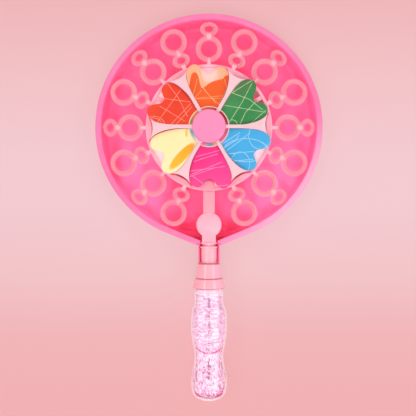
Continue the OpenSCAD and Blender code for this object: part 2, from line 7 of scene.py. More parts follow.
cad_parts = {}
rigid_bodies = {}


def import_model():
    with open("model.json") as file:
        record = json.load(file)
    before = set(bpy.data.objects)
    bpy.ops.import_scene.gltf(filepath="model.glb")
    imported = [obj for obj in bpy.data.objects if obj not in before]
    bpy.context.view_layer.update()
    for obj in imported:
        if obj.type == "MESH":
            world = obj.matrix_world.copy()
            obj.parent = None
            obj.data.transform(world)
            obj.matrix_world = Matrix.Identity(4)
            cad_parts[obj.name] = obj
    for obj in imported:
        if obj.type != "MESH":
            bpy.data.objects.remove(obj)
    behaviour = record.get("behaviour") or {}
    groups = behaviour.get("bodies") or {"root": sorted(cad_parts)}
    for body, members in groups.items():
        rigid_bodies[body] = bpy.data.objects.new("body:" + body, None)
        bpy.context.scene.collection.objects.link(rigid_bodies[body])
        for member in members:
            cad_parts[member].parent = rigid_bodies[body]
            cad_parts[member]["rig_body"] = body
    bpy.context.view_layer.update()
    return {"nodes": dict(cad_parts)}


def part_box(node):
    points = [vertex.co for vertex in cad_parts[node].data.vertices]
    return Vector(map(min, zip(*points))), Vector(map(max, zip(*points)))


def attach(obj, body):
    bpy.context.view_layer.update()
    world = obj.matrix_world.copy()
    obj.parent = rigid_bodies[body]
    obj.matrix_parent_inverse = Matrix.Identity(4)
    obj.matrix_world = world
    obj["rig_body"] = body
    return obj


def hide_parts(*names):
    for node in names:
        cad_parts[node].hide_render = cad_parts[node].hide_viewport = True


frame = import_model()
NODE = frame["nodes"]
MM = 0.001
sc = bpy.context.scene
PI = math.pi


# ---------------------------------------------------------------- small helpers
def lerp(a, b, t):
    return a + (b - a) * t


def smooth(t):
    t = min(1.0, max(0.0, t))
    return t * t * (3 - 2 * t)


def spline(pts, steps):
    """Catmull-Rom through the points, ends held."""
    out = []
    n = len(pts)
    for i in range(n - 1):
        a, b, c, d = pts[max(i - 1, 0)], pts[i], pts[i + 1], pts[min(i + 2, n - 1)]
        for k in range(steps):
            t = k / steps
            out.append(tuple(0.5 * (2 * b[j] + (c[j] - a[j]) * t + (2 * a[j] - 5 * b[j] + 4 * c[j] - d[j]) * t * t
                                    + (3 * b[j] - a[j] - 3 * c[j] + d[j]) * t ** 3) for j in range(len(b))))
    out.append(tuple(pts[-1]))
    return out


def centre(node):
    lo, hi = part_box(node)
    return (lo + hi) / 2


def finish_mesh(bm, name, angle=35):
    """Turns a bmesh, in mm, into a shaded object in metres."""
    bmesh.ops.recalc_face_normals(bm, faces=bm.faces)
    me = bpy.data.meshes.new(name)
    bm.to_mesh(me)
    bm.free()
    me.transform(Matrix.Scale(MM, 4))
    for p in me.polygons:
        p.use_smooth = True
    me.set_sharp_from_angle(angle=math.radians(angle))
    ob = bpy.data.objects.new(name, me)
    sc.collection.objects.link(ob)
    return ob


def add_grid(bm, rings, close_u=True, close_v=True):
    """A skin over rings of points. close_u joins last ring to first, close_v joins each ring's ends."""
    vs = [[bm.verts.new(p) for p in r] for r in rings]
    nu, nv = len(vs), len(vs[0])
    for i in range(nu if close_u else nu - 1):
        for j in range(nv if close_v else nv - 1):
            a, b = vs[i][j], vs[i][(j + 1) % nv]
            c, d = vs[(i + 1) % nu][(j + 1) % nv], vs[(i + 1) % nu][j]
            bm.faces.new((a, b, c, d))
    return vs


def add_lathe(bm, profile, n=128, place=None):
    """Solid of revolution. Profile points are (radius, height); a radius of 0 becomes a pole."""
    place = place or (lambda p: p)
    rows = []
    for r, h in profile:
        if r < 1e-6:
            rows.append([bm.verts.new(place(Vector((0, 0, h))))])
        else:
            rows.append([bm.verts.new(place(Vector((r * math.cos(2 * PI * i / n), r * math.sin(2 * PI * i / n), h))))
                         for i in range(n)])
    m = len(rows)
    closed = not (len(rows[0]) == 1 and len(rows[-1]) == 1)
    for k in range(m if closed else m - 1):
        a, b = rows[k], rows[(k + 1) % m]
        for i in range(n):
            j = (i + 1) % n
            if len(a) == 1 and len(b) == 1:
                continue
            if len(a) == 1:
                bm.faces.new((a[0], b[i], b[j]))
            elif len(b) == 1:
                bm.faces.new((a[i], b[0], a[j]))
            else:
                bm.faces.new((a[i], b[i], b[j], a[j]))
    return rows


def round_corners(profile, radii, seg=5, closed=True):
    """Profile with each corner replaced by a short arc-like blend. radii is a number or a list."""
    n = len(profile)
    out = []
    for i, p in enumerate(profile):
        r = radii[i] if isinstance(radii, (list, tuple)) else radii
        if r <= 0 or (not closed and i in (0, n - 1)):
            out.append(tuple(p))
            continue
        a, b = Vector(profile[i - 1]), Vector(profile[(i + 1) % n])
        q = Vector(p)
        da, db = (a - q), (b - q)
        la, lb = da.length, db.length
        if la < 1e-6 or lb < 1e-6:
            out.append(tuple(p))
            continue
        cosang = max(-1, min(1, da.dot(db) / la / lb))
        half = math.acos(cosang) / 2
        t = min(r / max(math.tan(half), 1e-3), 0.45 * la, 0.45 * lb)
        s, e = q + da / la * t, q + db / lb * t
        for k in range(seg + 1):
            u = k / seg
            out.append(tuple((1 - u) ** 2 * s + 2 * u * (1 - u) * q + u * u * e))
    return out


def from_cad(node, name=None, bevel=0.3, seg=3, angle=28, flat_angle=0.6, shade=40):
    """A finished copy of a CAD node: welded, its flats merged and its edges rounded. It stands for the node."""
    bm = bmesh.new()
    bm.from_mesh(NODE[node].data)
    bmesh.ops.scale(bm, vec=(1 / MM,) * 3, verts=bm.verts)
    bmesh.ops.remove_doubles(bm, verts=bm.verts, dist=0.004)
    bmesh.ops.dissolve_degenerate(bm, edges=bm.edges, dist=0.003)
    if flat_angle:
        bmesh.ops.dissolve_limit(bm, angle_limit=math.radians(flat_angle), verts=bm.verts, edges=bm.edges)
    if bevel:
        sharp = [e for e in bm.edges if len(e.link_faces) == 2 and e.calc_face_angle(0) > math.radians(angle)]
        bmesh.ops.bevel(bm, geom=sharp, offset=bevel, offset_type='OFFSET', segments=seg, profile=0.5,
                        affect='EDGES', clamp_overlap=True, loop_slide=True)
        bmesh.ops.remove_doubles(bm, verts=bm.verts, dist=0.003)
    bmesh.ops.triangulate(bm, faces=[f for f in bm.faces if len(f.verts) > 4])
    ob = finish_mesh(bm, name or node + "_finished", shade)
    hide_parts(node)
    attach(ob, NODE[node]["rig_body"])
    return ob


def dress(ob, material):
    ob.data.materials.clear()
    ob.data.materials.append(material)
    return ob


# ---------------------------------------------------------------- materials
class Mat:
    """A small builder for node materials."""

    def __init__(self, name):
        self.m = bpy.data.materials.new(name)
        self.m.use_nodes = True
        self.t = self.m.node_tree
        self.t.nodes.clear()
        self.out = self.t.nodes.new("ShaderNodeOutputMaterial")
        self.bsdf = self.t.nodes.new("ShaderNodeBsdfPrincipled")
        self.t.links.new(self.bsdf.outputs[0], self.out.inputs[0])
        self.coord = self.t.nodes.new("ShaderNodeTexCoord")
        self.pos = self.coord.outputs["Object"]

    def node(self, kind, **kw):
        n = self.t.nodes.new(kind)
        for k, v in kw.items():
            setattr(n, k, v)
        return n

    def put(self, sock, v):
        if hasattr(v, "is_linked") or hasattr(v, "links"):
            self.t.links.new(v, sock)
        else:
            sock.default_value = v

    def math(self, op, a, b=0.0, c=0.0, clamp=False):
        n = self.node("ShaderNodeMath", operation=op, use_clamp=clamp)
        for s, v in zip(n.inputs, (a, b, c)):
            self.put(s, v)
        return n.outputs[0]

    def vmath(self, op, a, b=(0, 0, 0), out=0, scale=None):
        n = self.node("ShaderNodeVectorMath", operation=op)
        self.put(n.inputs[0], a)
        self.put(n.inputs[1], b)
        if scale is not None:
            self.put(n.inputs["Scale"], scale)
        return n.outputs[out]

    def noise(self, scale, detail=2.0, rough=0.5, vec=None, distort=0.0):
        n = self.node("ShaderNodeTexNoise")
        self.put(n.inputs["Vector"], vec if vec is not None else self.pos)
        n.inputs["Scale"].default_value = scale
        n.inputs["Detail"].default_value = detail
        n.inputs["Roughness"].default_value = rough
        n.inputs["Distortion"].default_value = distort
        return n.outputs["Fac"]

    def ramp(self, fac, stops, interp="LINEAR"):
        n = self.node("ShaderNodeValToRGB")
        n.color_ramp.interpolation = interp
        e = n.color_ramp.elements
        while len(e) > 1:
            e.remove(e[-1])
        for i, (p, c) in enumerate(stops):
            x = e[0] if i == 0 else e.new(p)
            x.position = p
            x.color = (*c, 1.0) if len(c) == 3 else c
        self.put(n.inputs[0], fac)
        return n.outputs[0]

    def remap(self, v, a, b, c, d, clamp=True, smoothed=False):
        n = self.node("ShaderNodeMapRange", clamp=clamp)
        if smoothed:
            n.interpolation_type = "SMOOTHSTEP"
        for s, x in zip(n.inputs, (v, a, b, c, d)):
            self.put(s, x)
        return n.outputs[0]

    def mix(self, fac, a, b, mode="MIX"):
        n = self.node("ShaderNodeMix", data_type="RGBA", blend_type=mode)
        self.put(n.inputs[0], fac)
        for s, v in ((n.inputs[6], a), (n.inputs[7], b)):
            if isinstance(v, (tuple, list)):
                v = (*v, 1.0) if len(v) == 3 else v
            self.put(s, v)
        return n.outputs[2]

    def bump(self, height, strength, distance, prior=None):
        n = self.node("ShaderNodeBump")
        n.inputs["Strength"].default_value = strength
        n.inputs["Distance"].default_value = distance
        self.put(n.inputs["Height"], height)
        if prior is not None:
            self.put(n.inputs["Normal"], prior)
        return n.outputs[0]

    def set(self, **kw):
        names = {"color": "Base Color", "rough": "Roughness", "metal": "Metallic", "normal": "Normal", "ior": "IOR",
                 "coat": "Coat Weight", "coat_rough": "Coat Roughness", "spec": "Specular IOR Level",
                 "sss": "Subsurface Weight", "sss_radius": "Subsurface Radius", "sss_scale": "Subsurface Scale",
                 "trans": "Transmission Weight", "alpha": "Alpha", "aniso": "Anisotropic", "sheen": "Sheen Weight",
                 "film": "Thin Film Thickness", "film_ior": "Thin Film IOR", "emit": "Emission Color",
                 "emit_strength": "Emission Strength", "coat_normal": "Coat Normal"}
        for k, v in kw.items():
            s = self.bsdf.inputs[names[k]]
            if isinstance(v, (tuple, list)) and len(v) == 3 and len(s.default_value) == 4:
                v = (*v, 1.0)
            self.put(s, v)
        return self


def srgb(r, g, b):
    """8-bit display values to scene-linear."""
    f = lambda c: (c / 255 / 12.92) if c / 255 <= 0.04045 else ((c / 255 + 0.055) / 1.055) ** 2.4
    return (f(r), f(g), f(b))


def plastic(name, col, rough=0.32, vary=0.06, grain=0.05, coat=0.0, sss=0.0, edge=0.12, swirl=28.0, spec=0.3, glow=None):
    """Moulded plastic: slow colour drift, uneven gloss, orange peel, fine grain, and edges a little paler."""
    m = Mat(name)
    drift = m.noise(swirl, 3.0, 0.55, distort=0.4)
    dark = tuple(c * (1 - vary) for c in col)
    lite = tuple(min(1.0, c * (1 + vary * 0.7) + 0.01) for c in col)
    c = m.mix(m.remap(drift, 0.3, 0.7, 0, 1), dark, lite)
    geo = m.node("ShaderNodeNewGeometry")
    worn = m.remap(geo.outputs["Pointiness"], 0.505, 0.57, 0.0, edge)
    scratch = m.noise(900.0, 2.0, 0.6)
    c = m.mix(m.math("MULTIPLY", worn, m.remap(scratch, 0.35, 0.7, 0.5, 1.0)), c, tuple(min(1, x * 0.5 + 0.5) for x in col))
    r = m.math("ADD", m.remap(m.noise(160.0, 3.0, 0.6), 0.3, 0.7, rough - 0.05, rough + 0.06), m.math("MULTIPLY", worn, 0.3))
    peel = m.bump(m.noise(420.0, 1.0, 0.4), 0.10, 0.0004)
    fine = m.bump(m.noise(2600.0, 2.0, 0.6), grain, 0.0002, peel)
    m.set(color=c, rough=r, normal=fine, ior=1.5, coat=coat, coat_rough=0.08, spec=spec)
    if glow:
        # Painted glow: an emission that stands in for light carried through the thin plastic from the hot pink around
        # it.
        m.set(emit=glow[0], emit_strength=glow[1])
    if sss:
        m.set(sss=sss, sss_radius=(0.9, 0.45, 0.4), sss_scale=0.003)
    return m.m


def fold(mat, col, rough, **kw):
    return plastic(mat, srgb(*col), rough, **kw)


SALMON = (250, 164, 178)
# A glow given to a plastic below is a painted glow, an emission with no lamp behind it.
M_wand = plastic("wand_plastic_pink", srgb(252, 174, 190), 0.38, vary=0.05, edge=0.30, coat=0.03, sss=0.10, glow=(srgb(226, 60, 96), 0.10))
def ring_material():
    """The head's band: pale pink with a painted pink glow, and a painted line of shade just outside each of the star's
    arms.
    """
    plastic("wand_band_plastic_pink", srgb(253, 180, 196), 0.38, vary=0.05, edge=0.30, coat=0.03, sss=0.08, glow=(srgb(240, 70, 110), 0.20))
    mat = bpy.data.materials["wand_band_plastic_pink"]
    t = mat.node_tree
    bsdf = next(n for n in t.nodes if n.type == "BSDF_PRINCIPLED")
    src = bsdf.inputs["Base Color"].links[0].from_socket
    m = Mat.__new__(Mat)
    m.m, m.t, m.bsdf = mat, t, bsdf
    m.pos = next(n for n in t.nodes if n.type == "TEX_COORD").outputs["Object"]
    xyz = m.node("ShaderNodeSeparateXYZ")
    m.put(xyz.inputs[0], m.pos)
    rad = m.vmath("LENGTH", m.vmath("MULTIPLY", m.pos, (1, 1, 0)), out=1)
    turn = m.math("ARCTAN2", xyz.outputs[1], xyz.outputs[0])
    # Angle from the nearest arm, between -30 and 30 degrees.
    off = m.math("SUBTRACT", turn, m.math("MULTIPLY", m.math("ROUND", m.math("DIVIDE", turn, PI / 3)), PI / 3))
    u, v = m.math("MULTIPLY", rad, m.math("COSINE", off)), m.math("MULTIPLY", rad, m.math("SINE", off))
    q = m.math("DIVIDE", m.math("SUBTRACT", v, 0.0023), 0.0109)
    end = m.math("ADD", m.math("MULTIPLY", m.math("MULTIPLY", q, q), 0.00245), 0.0589)
    out = m.math("SUBTRACT", u, end)
    # Painted shade: a deep pink line just outside the end of each of the star's arms.
    line = m.remap(out, 0.0008, 0.0024, 1, 0, smoothed=True)
    line = m.math("MULTIPLY", line, m.remap(out, -0.0012, -0.0004, 0, 1))
    line = m.math("MULTIPLY", line, m.remap(m.math("ABSOLUTE", q), 1.05, 1.35, 1, 0, smoothed=True))
    line = m.math("MULTIPLY", line, m.remap(rad, 0.0590, 0.0600, 0, 0.85))
    m.put(bsdf.inputs["Base Color"], m.mix(line, src, srgb(206, 52, 84)))
    return mat


M_band = ring_material()


def loop_material():
    """The loops' plastic: pale on the fins' tops, with painted shade in the tray's deep pink down in the cuts between
    them, and a faint painted pink glow.
    """
    m = Mat("loop_plastic_pink")
    at = m.node("ShaderNodeAttribute", attribute_name="fin", attribute_type="GEOMETRY")
    drift = m.noise(40.0, 3.0, 0.5)
    top = m.mix(m.remap(drift, 0.3, 0.7, 0, 1), srgb(253, 188, 202), srgb(255, 206, 214))
    # Painted shade: the cuts and the low web between the fins are coloured deep pink.
    low = m.mix(m.remap(drift, 0.3, 0.7, 0, 1), srgb(224, 44, 92), srgb(236, 58, 106))
    c = m.mix(m.remap(at.outputs["Fac"], 0.15, 0.85, 0, 1, smoothed=True), low, top)
    # A faint painted pink glow.
    m.set(color=c, rough=m.remap(m.noise(160.0, 3.0, 0.6), 0.3, 0.7, 0.34, 0.46), spec=0.25, emit=srgb(240, 60, 112), emit_strength=0.05,
          normal=m.bump(m.noise(2600.0, 2.0, 0.6), 0.05, 0.0002))
    return m.m


M_loops = loop_material()
# The glows of the stem, socket and cap are painted glows.
M_stem = plastic("stem_plastic_pink", srgb(249, 156, 175), 0.36, vary=0.04, edge=0.25, coat=0.05, sss=0.10, glow=(srgb(226, 60, 96), 0.05))
M_socket = plastic("socket_plastic_pink", srgb(250, 176, 194), 0.30, vary=0.04, edge=0.3, coat=0.6, sss=0.08, glow=(srgb(220, 36, 74), 0.10))
M_cap = plastic("cap_plastic_pink", srgb(251, 178, 191), 0.24, vary=0.04, edge=0.2, coat=1.0, sss=0.08, spec=0.45, glow=(srgb(230, 56, 88), 0.12))


def paint_cap_light_and_shade(mat):
    """Painted shade: a deeper line where each of the cap's tiers meets the next. Painted highlight: the cap grows
    lighter toward its +x side.
    """
    t = mat.node_tree
    bsdf = next(n for n in t.nodes if n.type == "BSDF_PRINCIPLED")
    link = bsdf.inputs["Base Color"].links[0]
    src = link.from_socket
    m = Mat.__new__(Mat)
    m.m, m.t, m.bsdf = mat, t, bsdf
    m.pos = next(n for n in t.nodes if n.type == "TEX_COORD").outputs["Object"]
    xyz = m.node("ShaderNodeSeparateXYZ")
    m.put(xyz.inputs[0], m.pos)
    line = None
    # Painted shade lines at the tiers' steps.
    for at in (-0.1439, -0.1594, -0.1699):
        k = m.remap(m.math("ABSOLUTE", m.math("SUBTRACT", xyz.outputs[1], at)), 0.00035, 0.00095, 0.72, 0, smoothed=True)
        line = k if line is None else m.math("MAXIMUM", line, k)
    # Painted highlight, growing toward +x.
    painted_highlight = m.mix(m.remap(xyz.outputs[0], 0.001, 0.012, 0, 0.75, smoothed=True), src, srgb(253, 194, 216))
    m.put(bsdf.inputs["Base Color"], m.mix(line, painted_highlight, srgb(206, 72, 98)))
    return mat


paint_cap_light_and_shade(M_cap)
# The star's glow is a painted glow.
M_star = plastic("star_plastic_pale_pink", srgb(241, 196, 203), 0.6, vary=0.03, edge=0.2, grain=0.12, spec=0.2, glow=(srgb(220, 60, 90), 0.03))
M_hub = plastic("hub_plastic_pink", srgb(250, 142, 186), 0.62, vary=0.03, edge=0.15, grain=0.16, spec=0.2)
M_clamp = plastic("clamp_plastic_cream", srgb(254, 220, 200), 0.38, vary=0.03, edge=0.3)


def back_material():
    """Pale plate with a painted glow; where it runs under the star's arms it is painted deep pink as shade."""
    m = Mat("back_plate_plastic_pale")
    xyz = m.node("ShaderNodeSeparateXYZ")
    m.put(xyz.inputs[0], m.pos)
    a = m.math("ARCTAN2", xyz.outputs[1], xyz.outputs[0])
    # Painted shade: deep pink in the sectors under the star's arms.
    k = m.remap(m.math("COSINE", m.math("MULTIPLY", a, 6.0)), -0.25, 0.25, 1, 0, smoothed=True)
    pale = m.mix(m.remap(m.noise(60.0, 3.0), 0.3, 0.7, 0, 1), srgb(251, 228, 233), srgb(254, 238, 242))
    deep = m.mix(m.remap(m.noise(60.0, 3.0), 0.3, 0.7, 0, 1), srgb(206, 44, 80), srgb(222, 60, 96))
    # Painted shade: the plate is darkened round one window, at 30 degrees, where it looks down into the shaded basin.
    turn = m.remap(m.math("COSINE", m.math("SUBTRACT", a, math.radians(30))), 0.93, 0.975, 0, 0.85, smoothed=True)
    pale = m.mix(turn, pale, srgb(176, 74, 80))
    k = m.math("MULTIPLY", k, m.math("SUBTRACT", 1.0, m.math("MULTIPLY", turn, 0.4)))
    c = m.mix(k, deep, pale)
    # Painted glow: pale pink on the pale parts, faint dark pink on the deep parts.
    m.set(color=c, rough=m.remap(m.noise(150.0, 3.0), 0.3, 0.7, 0.45, 0.6), spec=0.25, emit=m.mix(k, srgb(206, 40, 76), srgb(250, 206, 212)),
          emit_strength=m.math("ADD", m.math("MULTIPLY", m.math("MULTIPLY", k, m.math("SUBTRACT", 1.0, turn)), 0.22), 0.10), normal=m.bump(m.noise(1800.0, 2.0), 0.05, 0.0002))
    return m.m


M_back = back_material()
M_carrier = plastic("carrier_plastic_pale", srgb(250, 212, 214), 0.42, vary=0.04, edge=0.2)
M_white = plastic("bearing_plastic_white", srgb(240, 236, 228), 0.40, vary=0.04, edge=0.2)
M_foam = plastic("liner_foam_white", srgb(238, 236, 230), 0.92, vary=0.05, grain=0.6, swirl=90)


def tray_material():
    """The tray's plastic: one hot pink, painted deeper in the basin and paler on the rim as light and shade, with faint
    film marks on the floor.
    """
    m = Mat("tray_plastic_hot_pink")
    xyz = m.node("ShaderNodeSeparateXYZ")
    m.put(xyz.inputs[0], m.pos)
    rad = m.vmath("LENGTH", m.vmath("MULTIPLY", m.pos, (1, 1, 0)), out=1)
    drift = m.noise(9.0, 3.0, 0.5, distort=0.6)
    deep = m.mix(m.remap(drift, 0.3, 0.7, 0, 1), srgb(247, 87, 134), srgb(251, 103, 150))
    # Painted light: the floor is painted paler toward the lower right.
    side = m.math("ADD", m.math("MULTIPLY", xyz.outputs[0], 3.2), m.math("MULTIPLY", xyz.outputs[1], -2.6))
    deep = m.mix(m.remap(side, -0.05, 0.42, 0.0, 0.8, smoothed=True), deep, srgb(254, 122, 178))
    # Painted light and shade: paler again low on the left and right, and painted deeper where the floor runs down to
    # the trough.
    ax, ay = m.math("ABSOLUTE", xyz.outputs[0]), xyz.outputs[1]
    flank = m.math("MULTIPLY", m.remap(ax, 0.020, 0.072, 0, 1, smoothed=True), m.remap(ay, 0.045, -0.045, 0.30, 1, smoothed=True))
    flank = m.math("MULTIPLY", flank, m.remap(ax, 0.090, 0.101, 1, 0.25, smoothed=True))
    deep = m.mix(m.math("MULTIPLY", flank, 0.95), deep, srgb(254, 138, 192))
    foot = m.math("MULTIPLY", m.remap(ax, 0.060, 0.020, 0, 1, smoothed=True), m.remap(ay, -0.084, -0.108, 0, 0.85, smoothed=True))
    deep = m.mix(foot, deep, srgb(224, 38, 80))
    # Painted light: the rim is the same plastic as the basin, painted paler.
    rim = m.mix(m.remap(drift, 0.3, 0.7, 0, 1), srgb(250, 119, 168), srgb(254, 134, 184))
    # Painted highlight: the rim is lighter toward the lower right.
    rim = m.mix(m.remap(side, 0.30, 0.52, 0, 0.8, smoothed=True), rim, srgb(254, 184, 216))
    up = m.math("MULTIPLY", m.remap(rad, 0.1125, 0.1138, 0, 1, smoothed=True), m.remap(xyz.outputs[2], 0.0195, 0.0225, 0, 1, smoothed=True))
    out = m.remap(rad, 0.1165, 0.1175, 0, 1, smoothed=True)
    c = m.mix(m.math("MAXIMUM", up, m.math("MULTIPLY", out, m.remap(xyz.outputs[2], 0.010, 0.012, 0, 1))), deep, rim)
    saddle = m.math("MULTIPLY", m.remap(ax, 0.0135, 0.0125, 0, 1), m.remap(ay, -0.1215, -0.1235, 0, 1))
    c = m.mix(m.math("MULTIPLY", saddle, 0.8), c, srgb(236, 84, 140))
    film = m.remap(m.noise(55.0, 4.0, 0.6, distort=1.2), 0.52, 0.60, 0, 1)
    c = m.mix(m.math("MULTIPLY", film, 0.10), c, srgb(255, 160, 196))
    rough = m.math("ADD", m.remap(m.noise(130.0, 3.0, 0.6), 0.3, 0.7, 0.36, 0.48), m.math("MULTIPLY", film, -0.08))
    peel = m.bump(m.noise(300.0, 1.0, 0.4), 0.12, 0.0005)
    fine = m.bump(m.noise(2400.0, 2.0, 0.6), 0.05, 0.0002, peel)
    # Painted glow: the basin is given an emission to brighten it, and the narrow, deep trough a dark red one, standing
    # in for light that comes into it through its own walls.
    trough = m.math("MULTIPLY", m.remap(m.math("ABSOLUTE", xyz.outputs[0]), 0.0094, 0.0102, 1, 0), m.remap(xyz.outputs[1], -0.111, -0.114, 0, 1))
    basin = m.math("SUBTRACT", 1.0, m.math("MAXIMUM", up, out), clamp=True)
    glow = m.mix(trough, m.mix(0.5, srgb(252, 84, 140), deep), srgb(214, 26, 62))
    m.set(emit=glow, emit_strength=m.math("ADD", m.math("MULTIPLY", m.math("SUBTRACT", basin, trough, clamp=True), 0.24), m.math("MULTIPLY", trough, 0.16)))
    m.set(color=c, rough=rough, normal=fine, spec=0.2, coat=0.03, coat_rough=0.15, sss=0.10, sss_radius=(0.9, 0.3, 0.4), sss_scale=0.003)
    return m.m


M_tray = tray_material()


def steel(name, col=(196, 198, 204), rough=0.26, grain=700.0):
    m = Mat(name)
    brushed = m.noise(grain, 4.0, 0.7, vec=m.vmath("MULTIPLY", m.pos, (1, 1, 9)))
    tint = m.mix(m.remap(m.noise(90.0, 3.0), 0.35, 0.7, 0, 1), srgb(*col), srgb(*(int(c * 0.82) for c in col)))
    m.set(color=tint, metal=1.0, rough=m.remap(brushed, 0.3, 0.7, rough - 0.07, rough + 0.1),
          normal=m.bump(brushed, 0.12, 0.0002))
    return m.m


M_steel = steel("zinc_steel")
M_spring = steel("spring_steel_dark", (150, 150, 158), 0.34)


# ---------------------------------------------------------------- stage, light and camera
def stage():
    bm = bmesh.new()
    s = 2500
    vs = [bm.verts.new(p) for p in ((-s, -s, -0.25), (s, -s, -0.25), (s, s, -0.25), (-s, s, -0.25))]
    bm.faces.new(vs)
    floor = finish_mesh(bm, "floor")
    m = Mat("pale_floor")
    xyz = m.node("ShaderNodeSeparateXYZ")
    m.put(xyz.inputs[0], m.pos)
    f = m.remap(m.math("ADD", xyz.outputs[1], m.math("MULTIPLY", m.math("SUBTRACT", m.noise(4.0, 2.0), 0.5), 0.03)), -0.30, 0.14, 0, 1)
    c = m.ramp(f, [(0.0, srgb(240, 172, 175)), (0.17, srgb(240, 177, 180)), (0.33, srgb(241, 192, 196)), (0.50, srgb(242, 199, 205)),
                   (0.62, srgb(242, 199, 205)), (0.80, srgb(242, 192, 196)), (1.0, srgb(240, 180, 183))])
    # A lit sweep: part of its light comes up through it, so shadows on it stay faint.
    m.set(emit=m.mix(1.0, c, (0.72, 0.745, 0.745), "MULTIPLY"), emit_strength=1.0)
    m.set(color=m.mix(1.0, c, (0.255, 0.265, 0.265), "MULTIPLY"), rough=0.75, spec=0.2, normal=m.bump(m.noise(1500.0, 2.0), 0.04, 0.0003))
    dress(floor, m.m)


def area(name, loc, target, size, power, col=(1, 1, 1), size_y=None):
    l = bpy.data.lights.new(name, "AREA")
    l.shape = "DISK" if size_y is None else "RECTANGLE"
    l.size, l.energy, l.color = size, power, col
    if size_y:
        l.size_y = size_y
    o = bpy.data.objects.new(name, l)
    o.location = loc
    d = (Vector(target) - Vector(loc)).normalized()
    # The panel's long side lies along Y.
    z = -d
    y = (Vector((0, 1, 0)) - z * z.y).normalized()
    x = y.cross(z)
    o.rotation_euler = Matrix((x, y, z)).transposed().to_euler()
    sc.collection.objects.link(o)
    return o


def studio_world():
    """A white tent: dim as a light source, bright where it is seen through the bottle."""
    w = bpy.data.worlds.new("studio")
    sc.world = w
    w.use_nodes = True
    t = w.node_tree
    bg = t.nodes["Background"]
    bg.inputs[0].default_value = (1.0, 0.965, 0.968, 1)
    lp = t.nodes.new("ShaderNodeLightPath")
    mr = t.nodes.new("ShaderNodeMapRange")
    t.links.new(lp.outputs["Is Transmission Ray"], mr.inputs[0])
    mr.inputs[3].default_value = 0.50
    mr.inputs[4].default_value = 1.0
    t.links.new(mr.outputs[0], bg.inputs[1])


def lights_and_camera():
    studio_world()
    area("front_softbox", (0.0, -0.85, 1.35), (0, -0.06, 0), 0.7, 7.8, (1, 0.99, 0.99))
    area("strip_left", (-0.66, -0.25, 1.0), (0, -0.12, 0), 0.22, 2.6, (1, 0.985, 0.985), 1.3)
    area("strip_right", (0.86, -0.25, 0.95), (0, -0.12, 0), 0.30, 3.0, (1, 0.985, 0.985), 1.3)
    area("back_softbox", (0.05, 1.1, 1.15), (0, -0.05, 0), 0.7, 4.0, (1, 0.985, 0.985))
    cam = bpy.data.objects.new("camera", bpy.data.cameras.new("camera"))
    cam.data.sensor_width = 36.0
    cam.data.lens = 53.83
    cam.data.clip_start = 0.01
    cam.location = (-0.0010, -0.0852, 0.68)
    cam.rotation_euler = (0, 0, 0)
    sc.collection.objects.link(cam)
    sc.camera = cam
    sc.view_settings.view_transform = "Standard"
    sc.view_settings.look = "None"


stage()
lights_and_camera()


def simple(node, material, **kw):
    ob = dress(from_cad(node, **kw), material)
    return ob


simple("tray", M_tray, bevel=0.45, seg=3, angle=30)
simple("back_plate", M_back, bevel=0.3)
simple("stem", M_stem, bevel=0.45)
simple("frame_screws", M_steel, bevel=0.1, seg=2)
simple("socket_screw", M_steel, bevel=0.1, seg=2)
simple("neck_socket", M_socket, bevel=0.4)
simple("bottle_cap", M_cap, bevel=0.3)
simple("cap_liner", M_foam, bevel=0.2)
simple("axle_pin", M_steel, bevel=0.15, seg=2)
simple("push_nut", M_spring, bevel=0.08, seg=2)
simple("thrust_washer", M_white, bevel=0.12, seg=2)
simple("windmill_bush", M_white, bevel=0.15, seg=2)
simple("windmill_carrier", M_carrier, bevel=0.25)
simple("clamp_ring", M_clamp, bevel=0.2)
simple("windmill_star", M_star, bevel=0.3)
simple("hub_cap", M_hub, bevel=0.35)


# ---------------------------------------------------------------- wand head: ring, ribs and ribbed loops
AX = 19.4          # height of the wand's long axis
RING_LO, RING_HI, RIB_HI = 16.9, 21.9, 19.9


def ribbed_loop(bm, place, a_in, b_in, a_out, b_out, teeth, root, half, land):
    """A closed ring whose fins run from the hole's edge out past a low web, cut right through between fins at their tips."""
    p = 2 * PI / teeth
    rings = []
    fins = []
    for k in range(teeth):
        for off, m in ((-0.21, 1), (0.21, 1), (0.29, 0), (0.71, 0)):
            t = (k + off) * p
            ct, st = math.cos(t), math.sin(t)
            w = (a_out - a_in) * ct * ct + (b_out - b_in) * st * st
            if m:
                top = [(0.0, 0.0), (0.0, half - 0.62), (0.14, half - 0.22), (0.46, half - 0.04), (land * 0.65, half), (land, half),
                       (land + 0.3, half), (land + 0.7, half - 0.02), (w - 0.42, half - 0.04), (w - 0.12, half - 0.18), (w, half - 0.55)]
            else:
                end = w - root
                top = [(0.0, 0.0), (0.0, half - 0.80), (0.12, half - 0.50), (0.36, half - 0.46), (land * 0.55, half - 0.86), (land * 0.8, half - 1.05),
                       (land, half - 1.1), (land + 0.15, half - 1.12), (end - 0.22, half - 1.15), (end - 0.06, half - 1.22), (end, half - 1.5)]
            prof = top + [(s, -z) for s, z in reversed(top[1:])]
            ring = []
            for s, z in prof:
                f = s / w
                x = lerp(a_in, a_out, f) * ct
                y = lerp(b_in, b_out, f) * st
                ring.append(place(x, y, z))
            rings.append(ring)
            fins.append(1.0 if m else 0.0)
    vs = add_grid(bm, rings, True, True)
    lay = bm.verts.layers.float.get("fin") or bm.verts.layers.float.new("fin")
    for row, f in zip(vs, fins):
        for q in row:
            q[lay] = f


def rounded_section(w, z0, z1, r):
    """Rounded rectangle, [side, height], running round once."""
    return round_corners([(-w / 2, z0), (w / 2, z0), (w / 2, z1), (-w / 2, z1)], r, 4)


